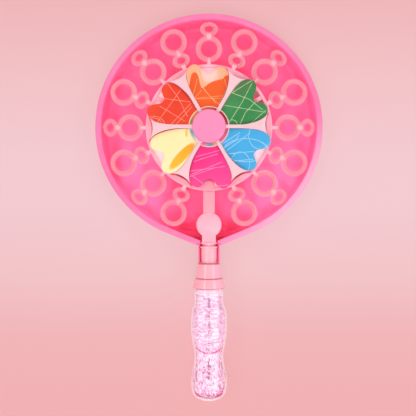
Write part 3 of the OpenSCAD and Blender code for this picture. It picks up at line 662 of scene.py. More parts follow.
def add_bar(bm, p0, p1, w, z0, z1, r=0.45, w1=None, mids=1):
    a, b = Vector((p0[0], p0[1])), Vector((p1[0], p1[1]))
    d = (b - a).normalized()
    nrm = Vector((-d.y, d.x))
    rings = []
    for k in range(mids + 1):
        f = k / mids
        c = a.lerp(b, f)
        ww = lerp(w, w if w1 is None else w1, f)
        rings.append([(c.x + nrm.x * s, c.y + nrm.y * s, z) for s, z in rounded_section(ww, z0, z1, r)])
    vs = add_grid(bm, rings, False, True)
    bm.faces.new(list(reversed(vs[0])))
    bm.faces.new(vs[-1])
    lay = bm.verts.layers.float.get("fin")
    if lay:
        for row in vs:
            for q in row:
                q[lay] = 1.0


def scallop(a):
    c = math.cos(6 * a)
    return 62.2 - 1.8 * c * (1.5 - 0.5 * c * c)


def wand_head():
    bm = bmesh.new()
    bm.verts.layers.float.new("fin")
    for i in range(16):
        if i == 12:
            continue
        ang = 2 * PI * i / 16
        ca, sa = math.cos(ang), math.sin(ang)

        def at(cx):
            def place(x, y, z):
                X, Y = cx + x, y
                return (X * ca - Y * sa, X * sa + Y * ca, AX + z)
            return place

        def big(cx):
            ribbed_loop(bm, at(cx), 8.9, 8.9, 13.9, 13.9, 37, 1.5, 2.0, 1.2)

        def small(cx):
            ribbed_loop(bm, at(cx), 3.5, 4.7, 7.5, 9.3, 22, 1.3, 2.0, 0.95)

        def link(x0, x1, w, w1):
            add_bar(bm, (x0 * ca, x0 * sa), (x1 * ca, x1 * sa), w, AX - 1.3, AX + 1.3, 0.5, w1, 3)

        if i % 2 == 0:
            big(83.5)
            small(104.5)
            link(66, 73.0, 4.0, 3.4)
            link(94.0, 99.4, 3.4, 3.4)
        else:
            small(76.9)
            big(98)
            link(66, 71.6, 4.0, 3.6)
            link(81.9, 87.5, 3.4, 3.4)
    loops = finish_mesh(bm, "bubble_loops", 38)
    dress(loops, M_loops)

    bm = bmesh.new()
    # The band, lipped outside and scalloped inside.
    rings = []
    n = 360
    for k in range(n):
        a = 2 * PI * k / n
        ri, ca, sa = scallop(a), math.cos(a), math.sin(a)
        prof = round_corners([(ri, RING_LO), (67.0, RING_LO), (67.0, RING_HI - 0.1), (65.6, RING_HI), (64.9, RING_HI - 0.35), (ri, RING_HI - 0.35)],
                             [0.5, 0.5, 0.7, 0.25, 0.25, 0.6], 3)
        rings.append([(r * ca, r * sa, z) for r, z in prof])
    add_grid(bm, rings, True, True)
    for deg in (30, 150):
        a = math.radians(deg)
        add_bar(bm, (5 * math.cos(a), 5 * math.sin(a)), (65.5 * math.cos(a), 65.5 * math.sin(a)), 4.5, RING_LO, RIB_HI, 0.5)
    add_bar(bm, (0, -6), (0, -66), 12.1, RING_LO, RIB_HI, 0.5)
    add_bar(bm, (0, -64), (0, -83.9), 6.9, RING_LO + 0.05, RIB_HI - 0.05, 0.4)
    prof = round_corners([(2.05, 15.1), (8.0, 15.1), (8.0, 23.55), (2.05, 23.55)], [0.2, 0.3, 0.6, 0.3], 4)
    add_lathe(bm, prof, 72)
    for k in range(6):
        a = math.radians(60 * k)
        c = Vector((64.5 * math.cos(a), 64.5 * math.sin(a), 0))
        add_lathe(bm, [(0, 14.95), (0.6, 14.98), (0.95, 15.2), (1.0, 15.5), (1.0, 17.6), (0, 17.6)], 20, lambda p, c=c: p + c)
    ring = finish_mesh(bm, "wand_ring", 38)
    dress(ring, M_band)
    for ob in (loops, ring):
        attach(ob, "wand")
    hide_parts("loop_frame")


wand_head()


# ---------------------------------------------------------------- bottle and solution
def on_axis(p):
    """Lathe frame to the wand's long axis: height becomes the station toward the handle's end."""
    return Vector((p.x, -p.z, AX + p.y))


BODY = [(14.8, 171.0), (15.1, 173.2), (15.2, 178.5), (15.2, 184.2), (15.5, 187.4), (16.9, 190.4), (18.0, 193.2), (18.7, 198.2),
        (19.2, 204), (19.4, 209.5), (19.2, 215), (18.8, 220), (18.1, 224), (17.4, 226.6), (17.4, 228.8), (16.8, 231.6), (16.0, 235.2),
        (15.35, 239.8), (15.35, 245), (15.9, 250.5), (17.0, 255), (18.1, 259.6), (18.8, 265), (19.0, 271), (18.6, 276.2), (17.7, 280.2),
        (15.6, 283.4), (12.2, 286.0)]
BASE = 287.4


def window(s, a, b, soft):
    return smooth((s - a) / soft) * smooth((b - s) / soft)


def relief(s, phi):
    """How far the bottle's skin is cut in at a station and an angle: grip rings, flutes and a quilted lower bulge."""
    g = 0.42 * (0.5 - 0.5 * math.cos((s - 194) * 2 * PI / 4.4)) * window(s, 194, 226, 4)
    f = 0.34 * (0.5 - 0.5 * math.cos(14 * phi)) ** 0.8 * window(s, 229, 252, 5)
    q = abs(math.sin(7 * phi + (s - 250) * 0.16)) * abs(math.sin(7 * phi - (s - 250) * 0.16))
    v = 0.42 * q * window(s, 248, 284, 5)
    u = 0.18 * (0.5 - 0.5 * math.cos(14 * phi)) * window(s, 172.5, 192, 3)
    return g + f + v + u


def bottle():
    line = spline(BODY, 5)
    n = 280
    bm = bmesh.new()
    # One closed skin: mouth, outside, base, then back up the inside.
    outer = [(9.6, 160.0, 0), (10.0, 159.9, 0), (11.3, 159.9, 0), (11.6, 160.2, 0), (11.6, 169.4, 0), (11.9, 169.75, 0), (14.2, 170.3, 0)]
    outer += [(r, s, 1) for r, s in line]
    outer += [(11.0, BASE - 0.7, 0), (9.5, BASE - 0.1, 0), (8.2, BASE - 0.3, 0), (5, BASE - 1.6, 0), (0, BASE - 2.2, 0)]
    inner = [(0, BASE - 3.6, 0), (5, BASE - 3.2, 0), (9.2, BASE - 2.5, 0), (11.6, BASE - 3.0, 0), (13.2, BASE - 4.2, 0)]
    inner += [(r - 1.52, s, 0) for r, s in reversed(line[8:-8])]
    inner += [(12.9, 172.4, 0), (11.4, 170.9, 0), (9.9, 169.9, 0), (9.6, 169.2, 0), (9.6, 161.0, 0)]
    rows = []
    for r, s, cut in outer + inner:
        if r == 0:
            rows.append([bm.verts.new(on_axis(Vector((0, 0, s))))])
            continue
        row = []
        for k in range(n):
            phi = 2 * PI * (k + 0.5) / n
            rr = r - (relief(s, phi) if cut else 0)
            row.append(bm.verts.new(on_axis(Vector((rr * math.cos(phi), rr * math.sin(phi), s)))))
        rows.append(row)
    m = len(rows)
    for k in range(m):
        a, b = rows[k], rows[(k + 1) % m]
        for i in range(n):
            j = (i + 1) % n
            if len(a) == 1 and len(b) == 1:
                continue
            if len(a) == 1:
                bm.faces.new((a[0], b[i], b[j]))
            elif len(b) == 1:
                bm.faces.new((a[i], b[0], a[j]))
            else:
                bm.faces.new((a[i], b[i], b[j], a[j]))
    # Thread on the neck.
    turns, steps = 1.6, 96
    rings = []
    for k in range(steps + 1):
        f = k / steps
        t = 2 * PI * turns * f
        s0 = 163.5 + 3.0 * turns * f
        g = min(1, f * 12, (1 - f) * 12)
        crest = lerp(11.4, 13.2, g)
        sec = [(11.3, s0 - 0.65), (crest - 0.12, s0 - 0.38), (crest, s0 - 0.15), (crest, s0 + 0.15), (crest - 0.12, s0 + 0.38), (11.3, s0 + 0.65)]
        rings.append([on_axis(Vector((r * math.cos(t), r * math.sin(t), s))) for r, s in sec])
    vs = add_grid(bm, rings, False, True)
    bm.faces.new(list(reversed(vs[0])))
    bm.faces.new(vs[-1])
    ob = finish_mesh(bm, "bottle_clear", 50)
    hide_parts("bottle")
    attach(ob, "bottle")

    # The liquid, a hair inside the wall, with the trapped bubble under the neck.
    bm = bmesh.new()
    skin = [(0, BASE - 3.7), (5, BASE - 3.3), (9.2, BASE - 2.6), (11.5, BASE - 3.1), (13.1, BASE - 4.3)]
    skin += [(r - 1.60, s) for r, s in reversed(line[8:-9])]
    skin += [(12.75, 172.7), (11.3, 171.2), (9.8, 170.2), (9.4, 169.4), (8.4, 169.0), (0, 169.3)]
    add_lathe(bm, skin, 128, on_axis)
    liq = finish_mesh(bm, "bubble_solution_liquid", 50)
    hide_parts("bubble_solution")
    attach(liq, "solution")
    return ob, liq


def clear_material():
    """Clear PET: open face on, with a painted white highlight where the wall is seen edge on, small painted glints off
    its ribs and bright painted runs; the painted white glows a little.
    """
    m = Mat("clear_pet_lilac")
    fine = m.bump(m.noise(420.0, 3.0, 0.6), 0.22, 0.0006, m.bump(m.noise(110.0, 2.0, 0.5), 0.18, 0.0012))
    c = m.mix(m.noise(70.0, 3.0), srgb(255, 251, 254), srgb(255, 244, 251))
    m.set(color=c, trans=1.0, rough=m.remap(m.noise(400.0, 3.0), 0.3, 0.7, 0.03, 0.10), ior=1.38, normal=fine, spec=0.6)
    lw = m.node("ShaderNodeLayerWeight")
    lw.inputs["Blend"].default_value = 0.5
    # Painted highlight: white where the wall is seen edge on.
    edge = m.remap(lw.outputs["Facing"], 0.42, 0.74, 0, 0.94, smoothed=True)
    xyz = m.node("ShaderNodeSeparateXYZ")
    m.put(xyz.inputs[0], m.pos)
    wide = m.noise(430.0, 2.0, 0.55, vec=m.vmath("MULTIPLY", m.pos, (0.45, 1.0, 0.45)))
    tall = m.noise(430.0, 2.0, 0.55, vec=m.vmath("MULTIPLY", m.pos, (1.0, 0.40, 1.0)))
    low = m.remap(xyz.outputs[1], -0.226, -0.233, 0, 1, smoothed=True)
    painted_glint = m.math("ADD", m.math("MULTIPLY", wide, m.math("SUBTRACT", 1.0, low)), m.math("MULTIPLY", tall, low))
    painted_glint = m.remap(painted_glint, 0.57, 0.68, 0, 0.62, smoothed=True)
    # The painted glints leave the line under the upper bulge and the crescents over the base clear.
    x2 = m.math("MULTIPLY", xyz.outputs[0], xyz.outputs[0])
    hang = m.math("ABSOLUTE", m.math("ADD", m.math("ADD", xyz.outputs[1], 0.2362), m.math("MULTIPLY", x2, -28.0)))
    bow = m.math("ABSOLUTE", m.math("ADD", m.math("ADD", xyz.outputs[1], 0.2828), m.math("MULTIPLY", x2, -20.0)))
    clear = m.remap(m.math("MINIMUM", hang, bow), 0.0006, 0.0022, 0.08, 1, smoothed=True)
    # Painted highlights: bright runs beside the middle, broken up by the grip rings.
    ringed = m.remap(m.math("COSINE", m.math("MULTIPLY", m.math("SUBTRACT", xyz.outputs[1], 0.0004), 2 * PI / 0.0044)), -0.4, 0.6, 0.2, 1, smoothed=True)
    ringed = m.mix(low, ringed, (1, 1, 1))
    right = m.remap(m.math("ABSOLUTE", m.math("SUBTRACT", xyz.outputs[0], 0.0064)), 0.0018, 0.0042, 0.75, 0, smoothed=True)
    left = m.remap(m.math("ABSOLUTE", m.math("ADD", xyz.outputs[0], 0.0092)), 0.0012, 0.0038, 0.50, 0, smoothed=True)
    runs = m.math("MULTIPLY", m.math("MAXIMUM", right, left), ringed)
    runs = m.math("MULTIPLY", runs, m.remap(m.noise(95.0, 2.0), 0.38, 0.58, 0.15, 1, smoothed=True))
    runs = m.math("MULTIPLY", runs, m.remap(xyz.outputs[1], -0.272, -0.280, 1, 0, smoothed=True))
    runs = m.math("MULTIPLY", runs, m.math("SUBTRACT", 1.0, m.math("MULTIPLY", low, m.remap(m.noise(330.0, 2.0), 0.40, 0.58, 0.85, 0.25))))
    painted_glint = m.math("MULTIPLY", m.math("MAXIMUM", painted_glint, runs), clear)
    # Painted highlight: the neck is covered with the painted white too.
    neck = m.remap(xyz.outputs[1], -0.1700, -0.1790, 0.55, 0.0, smoothed=True)
    cover = m.math("MAXIMUM", m.math("MAXIMUM", edge, painted_glint), neck)
    # The painted white, glowing a little.
    white = m.node("ShaderNodeBsdfPrincipled")
    m.put(white.inputs["Base Color"], m.mix(m.noise(240.0, 2.0), (*srgb(250, 226, 240), 1.0), (*srgb(255, 246, 252), 1.0)))
    white.inputs["Roughness"].default_value = 0.22
    white.inputs["Emission Color"].default_value = (*srgb(255, 240, 250), 1)
    white.inputs["Emission Strength"].default_value = 0.10
    m.put(white.inputs["Normal"], fine)
    sk = m.node("ShaderNodeMixShader")
    m.put(sk.inputs[0], cover)
    m.t.links.new(m.bsdf.outputs[0], sk.inputs[1])
    m.t.links.new(white.outputs[0], sk.inputs[2])
    lp = m.node("ShaderNodeLightPath")
    tr = m.node("ShaderNodeBsdfTransparent")
    tr.inputs[0].default_value = (1.0, 0.96, 0.98, 1)
    mx = m.node("ShaderNodeMixShader")
    m.put(mx.inputs[0], lp.outputs["Is Shadow Ray"])
    m.t.links.new(sk.outputs[0], mx.inputs[1])
    m.t.links.new(tr.outputs[0], mx.inputs[2])
    m.t.links.new(mx.outputs[0], m.out.inputs[0])
    return m.m


def liquid_material():
    """Soapy pink-lilac liquid, milky, with painted light and shade for its refraction: fine pale and dark spots, a
    darker beaded thread down its middle, a pink line under the upper bulge, deeper pink toward the base and deep pink
    crescents over the base."""
    m = Mat("bubble_solution_pink")
    xyz = m.node("ShaderNodeSeparateXYZ")
    m.put(xyz.inputs[0], m.pos)
    x, y = xyz.outputs[0], xyz.outputs[1]
    cloud = m.noise(120.0, 4.0, 0.65, distort=1.0)
    base = m.mix(m.remap(cloud, 0.35, 0.65, 0, 1), srgb(222, 196, 214), srgb(236, 214, 228))
    wide = m.noise(420.0, 3.0, 0.6, vec=m.vmath("MULTIPLY", m.pos, (0.7, 1.3, 0.7)))
    tall = m.noise(420.0, 3.0, 0.6, vec=m.vmath("MULTIPLY", m.pos, (1.4, 0.7, 1.4)))
    low = m.remap(y, -0.226, -0.233, 0, 1, smoothed=True)
    grain = m.math("ADD", m.math("MULTIPLY", wide, m.math("SUBTRACT", 1.0, low)), m.math("MULTIPLY", tall, low))
    # Painted light and shade: dark and pale spots through the liquid.
    base = m.mix(m.remap(grain, 0.50, 0.38, 0, m.remap(low, 0, 1, 0.50, 0.95), smoothed=True), base, srgb(168, 98, 142))
    base = m.mix(m.remap(grain, 0.55, 0.66, 0, 0.8, smoothed=True), base, srgb(252, 238, 246))
    # Painted shade: a darker beaded thread down the middle.
    line = m.remap(m.math("ABSOLUTE", m.math("ADD", x, m.math("MULTIPLY", m.math("SUBTRACT", m.noise(160.0, 2.0), 0.5), 0.003))),
                   0.0004, 0.0020, 1, 0, smoothed=True)
    beads = m.remap(m.noise(260.0, 2.0, 0.5, vec=m.vmath("MULTIPLY", m.pos, (0.2, 1.0, 0.2))), 0.40, 0.54, 0, 1, smoothed=True)
    base = m.mix(m.math("MULTIPLY", m.math("MULTIPLY", line, beads), 0.80), base, srgb(150, 98, 130))
    # Painted shade: a pink line under the upper bulge, hanging lowest at the middle.
    hang = m.math("ADD", m.math("ADD", y, 0.2362), m.math("MULTIPLY", m.math("MULTIPLY", x, x), -28.0))
    mark = m.remap(m.math("ABSOLUTE", hang), 0.0004, 0.0013, 0.9, 0, smoothed=True)
    base = m.mix(mark, base, srgb(204, 84, 142))
    # Painted shade: deep pink crescents over the base, and deeper pink toward the base.
    bow = m.math("ADD", m.math("ADD", y, 0.2828), m.math("MULTIPLY", m.math("MULTIPLY", x, x), -20.0))
    cres = m.remap(m.math("ABSOLUTE", bow), 0.0008, 0.0022, 1, 0, smoothed=True)
    cres = m.math("MULTIPLY", cres, m.remap(m.math("ABSOLUTE", x), 0.0040, 0.0068, 0.15, 0.95, smoothed=True))
    foot = m.remap(y, -0.262, -0.280, 0, 0.75, smoothed=True)
    base = m.mix(m.math("MULTIPLY", foot, m.remap(grain, 0.58, 0.42, 0, 1)), base, srgb(198, 92, 150))
    base = m.mix(cres, base, srgb(192, 30, 104))
    m.set(color=base, trans=1.0, rough=0.06, ior=1.34, normal=m.bump(cloud, 0.25, 0.0015))
    diff = m.node("ShaderNodeBsdfDiffuse")
    m.put(diff.inputs[0], base)
    tl = m.node("ShaderNodeBsdfTranslucent")
    m.put(tl.inputs[0], base)
    milky = m.node("ShaderNodeMixShader")
    milky.inputs[0].default_value = 0.25
    m.t.links.new(diff.outputs[0], milky.inputs[1])
    m.t.links.new(tl.outputs[0], milky.inputs[2])
    mx = m.node("ShaderNodeMixShader")
    m.put(mx.inputs[0], m.remap(cloud, 0.3, 0.7, 0.82, 0.94))
    m.t.links.new(m.bsdf.outputs[0], mx.inputs[1])
    m.t.links.new(milky.outputs[0], mx.inputs[2])
    lp = m.node("ShaderNodeLightPath")
    tr = m.node("ShaderNodeBsdfTransparent")
    tr.inputs[0].default_value = (1.0, 0.86, 0.92, 1)
    sh = m.node("ShaderNodeMixShader")
    m.put(sh.inputs[0], lp.outputs["Is Shadow Ray"])
    m.t.links.new(mx.outputs[0], sh.inputs[1])
    m.t.links.new(tr.outputs[0], sh.inputs[2])
    m.t.links.new(sh.outputs[0], m.out.inputs[0])
    return m.m


bottle_ob, liquid_ob = bottle()
dress(bottle_ob, clear_material())
dress(liquid_ob, liquid_material())


# ---------------------------------------------------------------- windmill petals
PETAL_Z, PETAL_T = 27.2, 0.8
LEAD = [(9.5, 4.0), (14.5, 6.4), (19.2, 8.7), (25.3, 12.1), (32.3, 16.0), (39.6, 19.5), (46.1, 22.1), (52.8, 23.5), (59.0, 22.7),
        (63.2, 19.6), (65.0, 15.4), (63.9, 11.2), (60.6, 7.8), (57.2, 5.2), (55.4, 2.3), (55.1, -0.6)]
TRAIL = [(9.5, 4.0), (14.5, 6.4), (19.2, 8.7), (25.3, 12.1), (32.3, 15.8), (39.3, 18.3), (45.8, 19.8), (52.0, 20.6), (57.6, 19.9),
         (61.6, 16.8), (63.3, 12.4), (62.3, 8.2), (59.4, 5.2), (56.6, 3.2), (55.2, 1.4)]


def petal_h(u, v):
    s = smooth((u - 20) / 16)
    return s * (v * math.tan(math.radians(7)) + 0.0022 * v * v - 0.012 * (u - 20))


def petal_mesh(name, deg):
    """A thin curved sheet with a rolled edge; the stake hole at its root is listed but not cut."""
    rim = [p for p in spline(LEAD, 5)] + [(u, -v) for u, v in reversed(spline(TRAIL, 5))]
    n = len(rim)
    hole = [(15.4 + 1.2 * math.cos(2 * PI * k / 24), 1.2 * math.sin(2 * PI * k / 24)) for k in range(24)]
    a = math.radians(deg)
    ca, sa = math.cos(a), math.sin(a)

    def pt(u, v, up, drop=0.0):
        h = PETAL_Z + petal_h(u, v)
        z = h + PETAL_T - drop if up else h + drop
        return (u * ca - v * sa, u * sa + v * ca, z)

    bm = bmesh.new()
    mid = (38.0, 0.0)
    m = 12
    lay = {}
    for up in (True, False):
        rings = []
        for j in range(m):
            f = j / m
            ring = []
            for u, v in rim:
                if j == 0:
                    ring.append(bm.verts.new(pt(u, v, up, 0.22)))
                else:
                    g = 0.006 if j == 1 else (j - 1) / (m - 1)
                    ring.append(bm.verts.new(pt(lerp(u, mid[0], g), lerp(v, mid[1], g), up)))
            rings.append(ring)
        c = bm.verts.new(pt(mid[0], mid[1], up))
        for j in range(m - 1):
            for k in range(n):
                bm.faces.new((rings[j][k], rings[j][(k + 1) % n], rings[j + 1][(k + 1) % n], rings[j + 1][k]))
        for k in range(n):
            bm.faces.new((rings[-1][k], rings[-1][(k + 1) % n], c))
        lay[up] = rings[0]
    for k in range(n):
        bm.faces.new((lay[True][k], lay[True][(k + 1) % n], lay[False][(k + 1) % n], lay[False][k]))
    return finish_mesh(bm, name, 50)


def seg(m, x0, y0, x1, y1, w):
    """Coverage of a printed line between two plan points, in mm."""
    p0 = Vector((x0, y0, 0)) * MM
    d = (Vector((x1, y1, 0)) * MM - p0)
    length = d.length
    d.normalize()
    flat = m.vmath("MULTIPLY", m.pos, (1, 1, 0))
    q = m.vmath("SUBTRACT", flat, tuple(p0))
    t = m.math("MINIMUM", m.math("MAXIMUM", m.vmath("DOT_PRODUCT", q, tuple(d), out=1), 0.0), length)
    near = m.vmath("SCALE", tuple(d), scale=t)
    dist = m.vmath("LENGTH", m.vmath("SUBTRACT", q, near), out=1)
    return m.remap(dist, w * 0.5 * MM, (w * 0.5 + 0.28) * MM, 1, 0, smoothed=True)


def arc(m, cx, cy, r, w, sx=1.0, sy=1.0):
    """Coverage of a printed oval line, in mm."""
    q = m.vmath("MULTIPLY", m.vmath("SUBTRACT", m.pos, (cx * MM, cy * MM, 0)), (1 / sx, 1 / sy, 0))
    dist = m.math("ABSOLUTE", m.math("SUBTRACT", m.vmath("LENGTH", q, out=1), r * MM))
    return m.remap(dist, w * 0.5 * MM, (w * 0.5 + 0.28) * MM, 1, 0, smoothed=True)


def petal_material(name, deg, col, dark, ink, segs=(), arcs=(), shade=None, w=0.42):
    """Printed plastic sheet: a glossy face, a slow shade across it, painted light and shade on the green, orange and
    yellow sheets, and fine pale lines in the print.
    """
    m = Mat(name)
    a = math.radians(deg)
    u = m.vmath("DOT_PRODUCT", m.pos, (math.cos(a), math.sin(a), 0), out=1)
    v = m.vmath("DOT_PRODUCT", m.pos, (-math.sin(a), math.cos(a), 0), out=1)
    drift = m.noise(26.0, 3.0, 0.5, distort=0.5)
    c = m.mix(m.remap(drift, 0.3, 0.7, 0, 1), srgb(*dark), srgb(*col))
    if shade:
        c = shade(m, c, u, v)
    lines = None
    for s in segs:
        x = seg(m, *s, w)
        lines = x if lines is None else m.math("MAXIMUM", lines, x)
    for s in arcs:
        x = arc(m, s[0], s[1], s[2], w, *(s[3:] or ()))
        lines = x if lines is None else m.math("MAXIMUM", lines, x)
    if lines is not None:
        worn = m.remap(m.noise(240.0, 2.0), 0.3, 0.6, 0.50, 0.90)
        c = m.mix(m.math("MULTIPLY", lines, worn), c, srgb(*ink))
    rough = m.remap(m.noise(180.0, 3.0, 0.6), 0.3, 0.7, 0.40, 0.52)
    bump = m.bump(m.noise(45.0, 2.0, 0.4), 0.10, 0.001, m.bump(m.noise(1900.0, 2.0), 0.05, 0.0002))
    if lines is not None:
        bump = m.bump(lines, 0.25, 0.00006, bump)
    m.set(color=c, rough=rough, normal=bump, coat=0.03, coat_rough=0.2, spec=0.18)
    return m.m


def shade_green(m, c, u, v):
    # Painted shade: darker green over one side of the outer half.
    f = m.remap(v, 0.004, 0.021, 0, 1, smoothed=True)
    g = m.remap(u, 0.030, 0.058, 0.45, 1, smoothed=True)
    return m.mix(m.math("MULTIPLY", f, g), c, srgb(84, 120, 74))


def painted_reflection_orange(m, c, u, v):
    """Painted reflection: a pale peach wash over the outer half, paler still round the notch. Its shore runs up round
    the left lobe and along the right one.
    """
    xyz = m.node("ShaderNodeSeparateXYZ")
    m.put(xyz.inputs[0], m.pos)
    shore = m.node("ShaderNodeFloatCurve")
    crv = shore.mapping.curves[0]
    pts = [(-25, 36), (-21.6, 39), (-20.0, 46), (-18.9, 52), (-17.0, 55.6), (-14.6, 56.4), (-12.4, 54.6), (-10.6, 50.0), (-8.9, 43.6),
           (-7.2, 40.3), (-5.0, 41.4), (1.4, 46.2), (10.8, 49.6), (14.6, 50.6), (16.4, 52.6), (18.8, 54.0), (21.1, 53.2), (23.0, 49), (25, 47)]
    for i, (x, y) in enumerate(pts):
        p = ((x + 25) / 50, (y - 30) / 35)
        if i < 2:
            crv.points[i].location = p
        else:
            crv.points.new(*p)
    shore.mapping.update()
    m.put(shore.inputs["Value"], m.remap(xyz.outputs[0], -0.025, 0.025, 0, 1))
    edge = m.math("ADD", m.math("MULTIPLY", shore.outputs[0], 0.035), 0.030)
    wob = m.math("MULTIPLY", m.math("SUBTRACT", m.noise(70.0, 2.0), 0.5), 0.0012)
    over = m.math("SUBTRACT", m.math("ADD", xyz.outputs[1], wob), edge)
    wash = m.remap(over, -0.0004, 0.0007, 0, 1, smoothed=True)
    c = m.mix(m.math("MULTIPLY", wash, 0.96), c, srgb(252, 180, 140))
    # Painted highlight: paler still round the notch.
    pale = m.vmath("LENGTH", m.vmath("MULTIPLY", m.vmath("SUBTRACT", m.pos, (0.0006, 0.0550, 0)), (1 / 0.0098, 1 / 0.0100, 0)), out=1)
    c = m.mix(m.math("MULTIPLY", m.remap(pale, 0.50, 1.20, 0.85, 0, smoothed=True), wash), c, srgb(246, 208, 204))
    # Fine fan of strokes below the notch.
    fan = m.math("SINE", m.math("MULTIPLY", m.math("DIVIDE", m.math("ADD", xyz.outputs[0], 0.0045), m.math("SUBTRACT", xyz.outputs[1], 0.036)), 34.0))
    fan = m.math("MULTIPLY", m.remap(fan, 0.72, 0.95, 0, 0.5), m.math("MULTIPLY", wash, m.remap(pale, 1.2, 2.2, 1, 0, smoothed=True)))
    return m.mix(fan, c, srgb(255, 214, 180))


def shade_yellow(m, c, u, v):
    """A golden lens beside the leading edge and a small streak at the root, on a pale field; the pale field is a
    painted reflection that washes out the sheet's gold.
    """
    a = math.radians(210)
    ang = a + math.radians(17)
    cx, cy = 0.040 * math.cos(a) - 0.0127 * math.sin(a), 0.040 * math.sin(a) + 0.0127 * math.cos(a)
    q = m.vmath("SUBTRACT", m.pos, (cx, cy, 0))
    qa = m.vmath("DOT_PRODUCT", q, (math.cos(ang) / 0.0185, math.sin(ang) / 0.0185, 0), out=1)
    qb = m.vmath("DOT_PRODUCT", q, (-math.sin(ang) / 0.0050, math.cos(ang) / 0.0050, 0), out=1)
    rr = m.math("SQRT", m.math("ADD", m.math("MULTIPLY", qa, qa), m.math("MULTIPLY", qb, qb)))
    gold = m.mix(m.remap(qa, -1, 1, 0, 1), srgb(250, 164, 42), srgb(252, 196, 56))
    c = m.mix(m.remap(rr, 0.86, 1.12, 1, 0, smoothed=True), c, gold)
    s = m.vmath("LENGTH", m.vmath("MULTIPLY", m.vmath("SUBTRACT", m.pos, (-0.0235, -0.0068, 0)), (1 / 0.0013, 1 / 0.0042, 0)), out=1)
    return m.mix(m.remap(s, 0.7, 1.2, 0.9, 0, smoothed=True), c, srgb(250, 200, 60))


def shade_magenta(m, c, u, v):
    return m.mix(m.remap(u, 0.030, 0.062, 0, 0.75, smoothed=True), c, srgb(244, 80, 150))


PETALS = {
    "green": (30, (70, 148, 86), (50, 128, 74), (186, 214, 156), shade_green,
              [(23.5, 34.7, 45.5, 48.4), (23.5, 35.2, 42.7, 28.6), (42.7, 28.6, 56.5, 18.0), (45.1, 45.5, 34.3, 24.9), (34.3, 24.9, 21.1, 4.2),
               (15.0, 22.5, 59.6, 15.5), (51.2, 28.6, 38.2, 15.0), (38.2, 15.0, 32.4, 2.3), (59.6, 17.4, 44.6, 4.2)],
              [(24.5, 2.0, 5.2, 1.0, 1.0)]),
    "orange": (90, (244, 100, 44), (234, 86, 36), (250, 168, 116), painted_reflection_orange,
               [(-12.2, 49.3, -16.9, 31.5), (-8.0, 38.0, -15.0, 29.6), (-6.1, 40.8, 7.0, 24.9), (-13.6, 29.1, 14.6, 30.0),
                (-12.7, 29.6, 15.5, 32.8), (-8.9, 57.7, -4.8, 38.0), (-4.8, 38.0, 10.8, 23.0), (16.4, 50.2, 18.8, 40.8), (18.8, 40.8, 9.9, 23.0)],
               []),
    "red": (150, (244, 82, 54), (236, 64, 42), (250, 156, 132), None,
            [(-44.1, 46.5, -32.4, 31.0), (-32.4, 31.0, -22.5, 10.8), (-28.6, 40.8, -53.5, 4.7), (-46.5, 29.6, -19.7, 26.3), (-19.2, 24.4, -39.9, 1.9),
             (-18.3, 20.7, -34.3, 2.3), (-51.6, 21.6, -25.8, 6.1)],
            [(-57.3, 0.2, 10.4, 1.1, 1.0), (-57.8, 1.8, 7.0, 1.25, 1.0)]),
    # The yellow sheet's pale colours are a painted reflection over its golden print.
    "yellow": (210, (252, 240, 190), (250, 235, 172), (255, 252, 210), shade_yellow, [], []),
    "magenta": (270, (250, 60, 142), (240, 46, 130), (250, 150, 196), shade_magenta,
                [(-13.6, -31.5, 10.8, -24.9), (-15.5, -36.2, 8.9, -28.6), (-21.1, -46.5, 16.4, -41.8), (-17.4, -49.3, 13.6, -37.1),
                 (-20.2, -52.2, 5.2, -43.2), (-20.2, -49.3, -6.1, -59.6), (7.0, -62.4, 20.2, -61.2)], []),
    "blue": (330, (76, 176, 229), (60, 164, 220), (176, 216, 246), None,
             [(13.6, -18.3, 32.4, -6.1), (14.1, -23.0, 27.7, -14.6), (27.7, -14.6, 31.5, -8.9), (16.4, -26.8, 42.7, -7.0), (16.4, -28.6, 47.4, -25.8),
              (24.9, -36.2, 46.5, -33.8)],
             [(33.0, -38.5, 12.2, 0.8, 1.0), (38.5, -24.6, 12.0, 1.9, 1.0), (53.5, -9.5, 14.0, 0.85, 1.0)]),
}
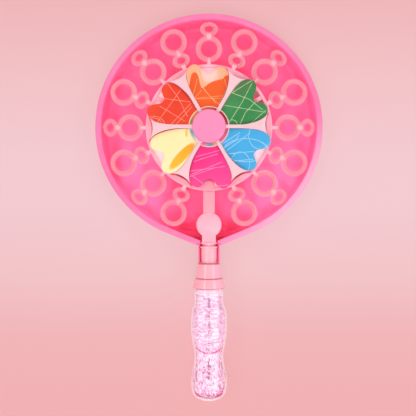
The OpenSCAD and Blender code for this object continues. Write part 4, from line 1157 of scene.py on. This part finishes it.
for colour, (deg, col, dark, ink, shade, segs, arcs) in PETALS.items():
    ob = petal_mesh("petal_" + colour + "_sheet", deg)
    dress(ob, petal_material("petal_print_" + colour, deg, col, dark, ink, segs, arcs, shade))
    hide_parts("petal_" + colour)
    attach(ob, "windmill")


# ---------------------------------------------------------------- foil between the clamp ring and the hub cap
def foil():
    bm = bmesh.new()
    rings = []
    n = 192
    for k in range(n):
        a = 2 * PI * k / n
        ripple = 0.05 * math.sin(12 * a) + 0.03 * math.sin(31 * a + 1)
        prof = [(6.2, 29.1), (20.25, 29.1), (20.3, 29.25), (20.2, 29.36 + ripple), (17.0, 29.40 + ripple), (12.0, 29.38), (6.2, 29.38)]
        rings.append([(r * math.cos(a), r * math.sin(a), z) for r, z in prof])
    add_grid(bm, rings, True, True)
    ob = finish_mesh(bm, "foil_ring", 35)
    m = Mat("iridescent_foil")
    g = m.node("ShaderNodeTexGradient", gradient_type="RADIAL")
    wob = m.math("MULTIPLY", m.math("SUBTRACT", m.noise(300.0, 2.0), 0.5), 0.02)
    m.put(g.inputs[0], m.pos)
    f = m.math("ADD", g.outputs["Fac"], wob)
    col = m.ramp(f, [(0.00, srgb(236, 228, 230)), (0.045, srgb(120, 170, 180)), (0.11, srgb(200, 226, 226)), (0.155, srgb(244, 226, 226)),
                     (0.20, srgb(240, 120, 160)), (0.245, srgb(120, 165, 200)), (0.285, srgb(150, 170, 190)), (0.30, srgb(250, 196, 60)),
                     (0.325, srgb(248, 120, 170)), (0.42, srgb(240, 108, 150)), (0.50, srgb(226, 80, 120)), (0.56, srgb(170, 34, 60)),
                     (0.66, srgb(196, 44, 60)), (0.74, srgb(236, 90, 60)), (0.80, srgb(250, 120, 70)), (0.88, srgb(244, 160, 70)),
                     (0.93, srgb(206, 150, 60)), (0.965, srgb(130, 140, 70)), (1.00, srgb(230, 200, 150))])
    m.set(color=col, metal=0.25, rough=m.remap(m.noise(260.0, 3.0), 0.3, 0.7, 0.34, 0.46), spec=0.3,
          normal=m.bump(m.noise(240.0, 3.0), 0.12, 0.0004), coat=0.1)
    dress(ob, m.m)
    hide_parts("foil_disc")
    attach(ob, "windmill")


foil()
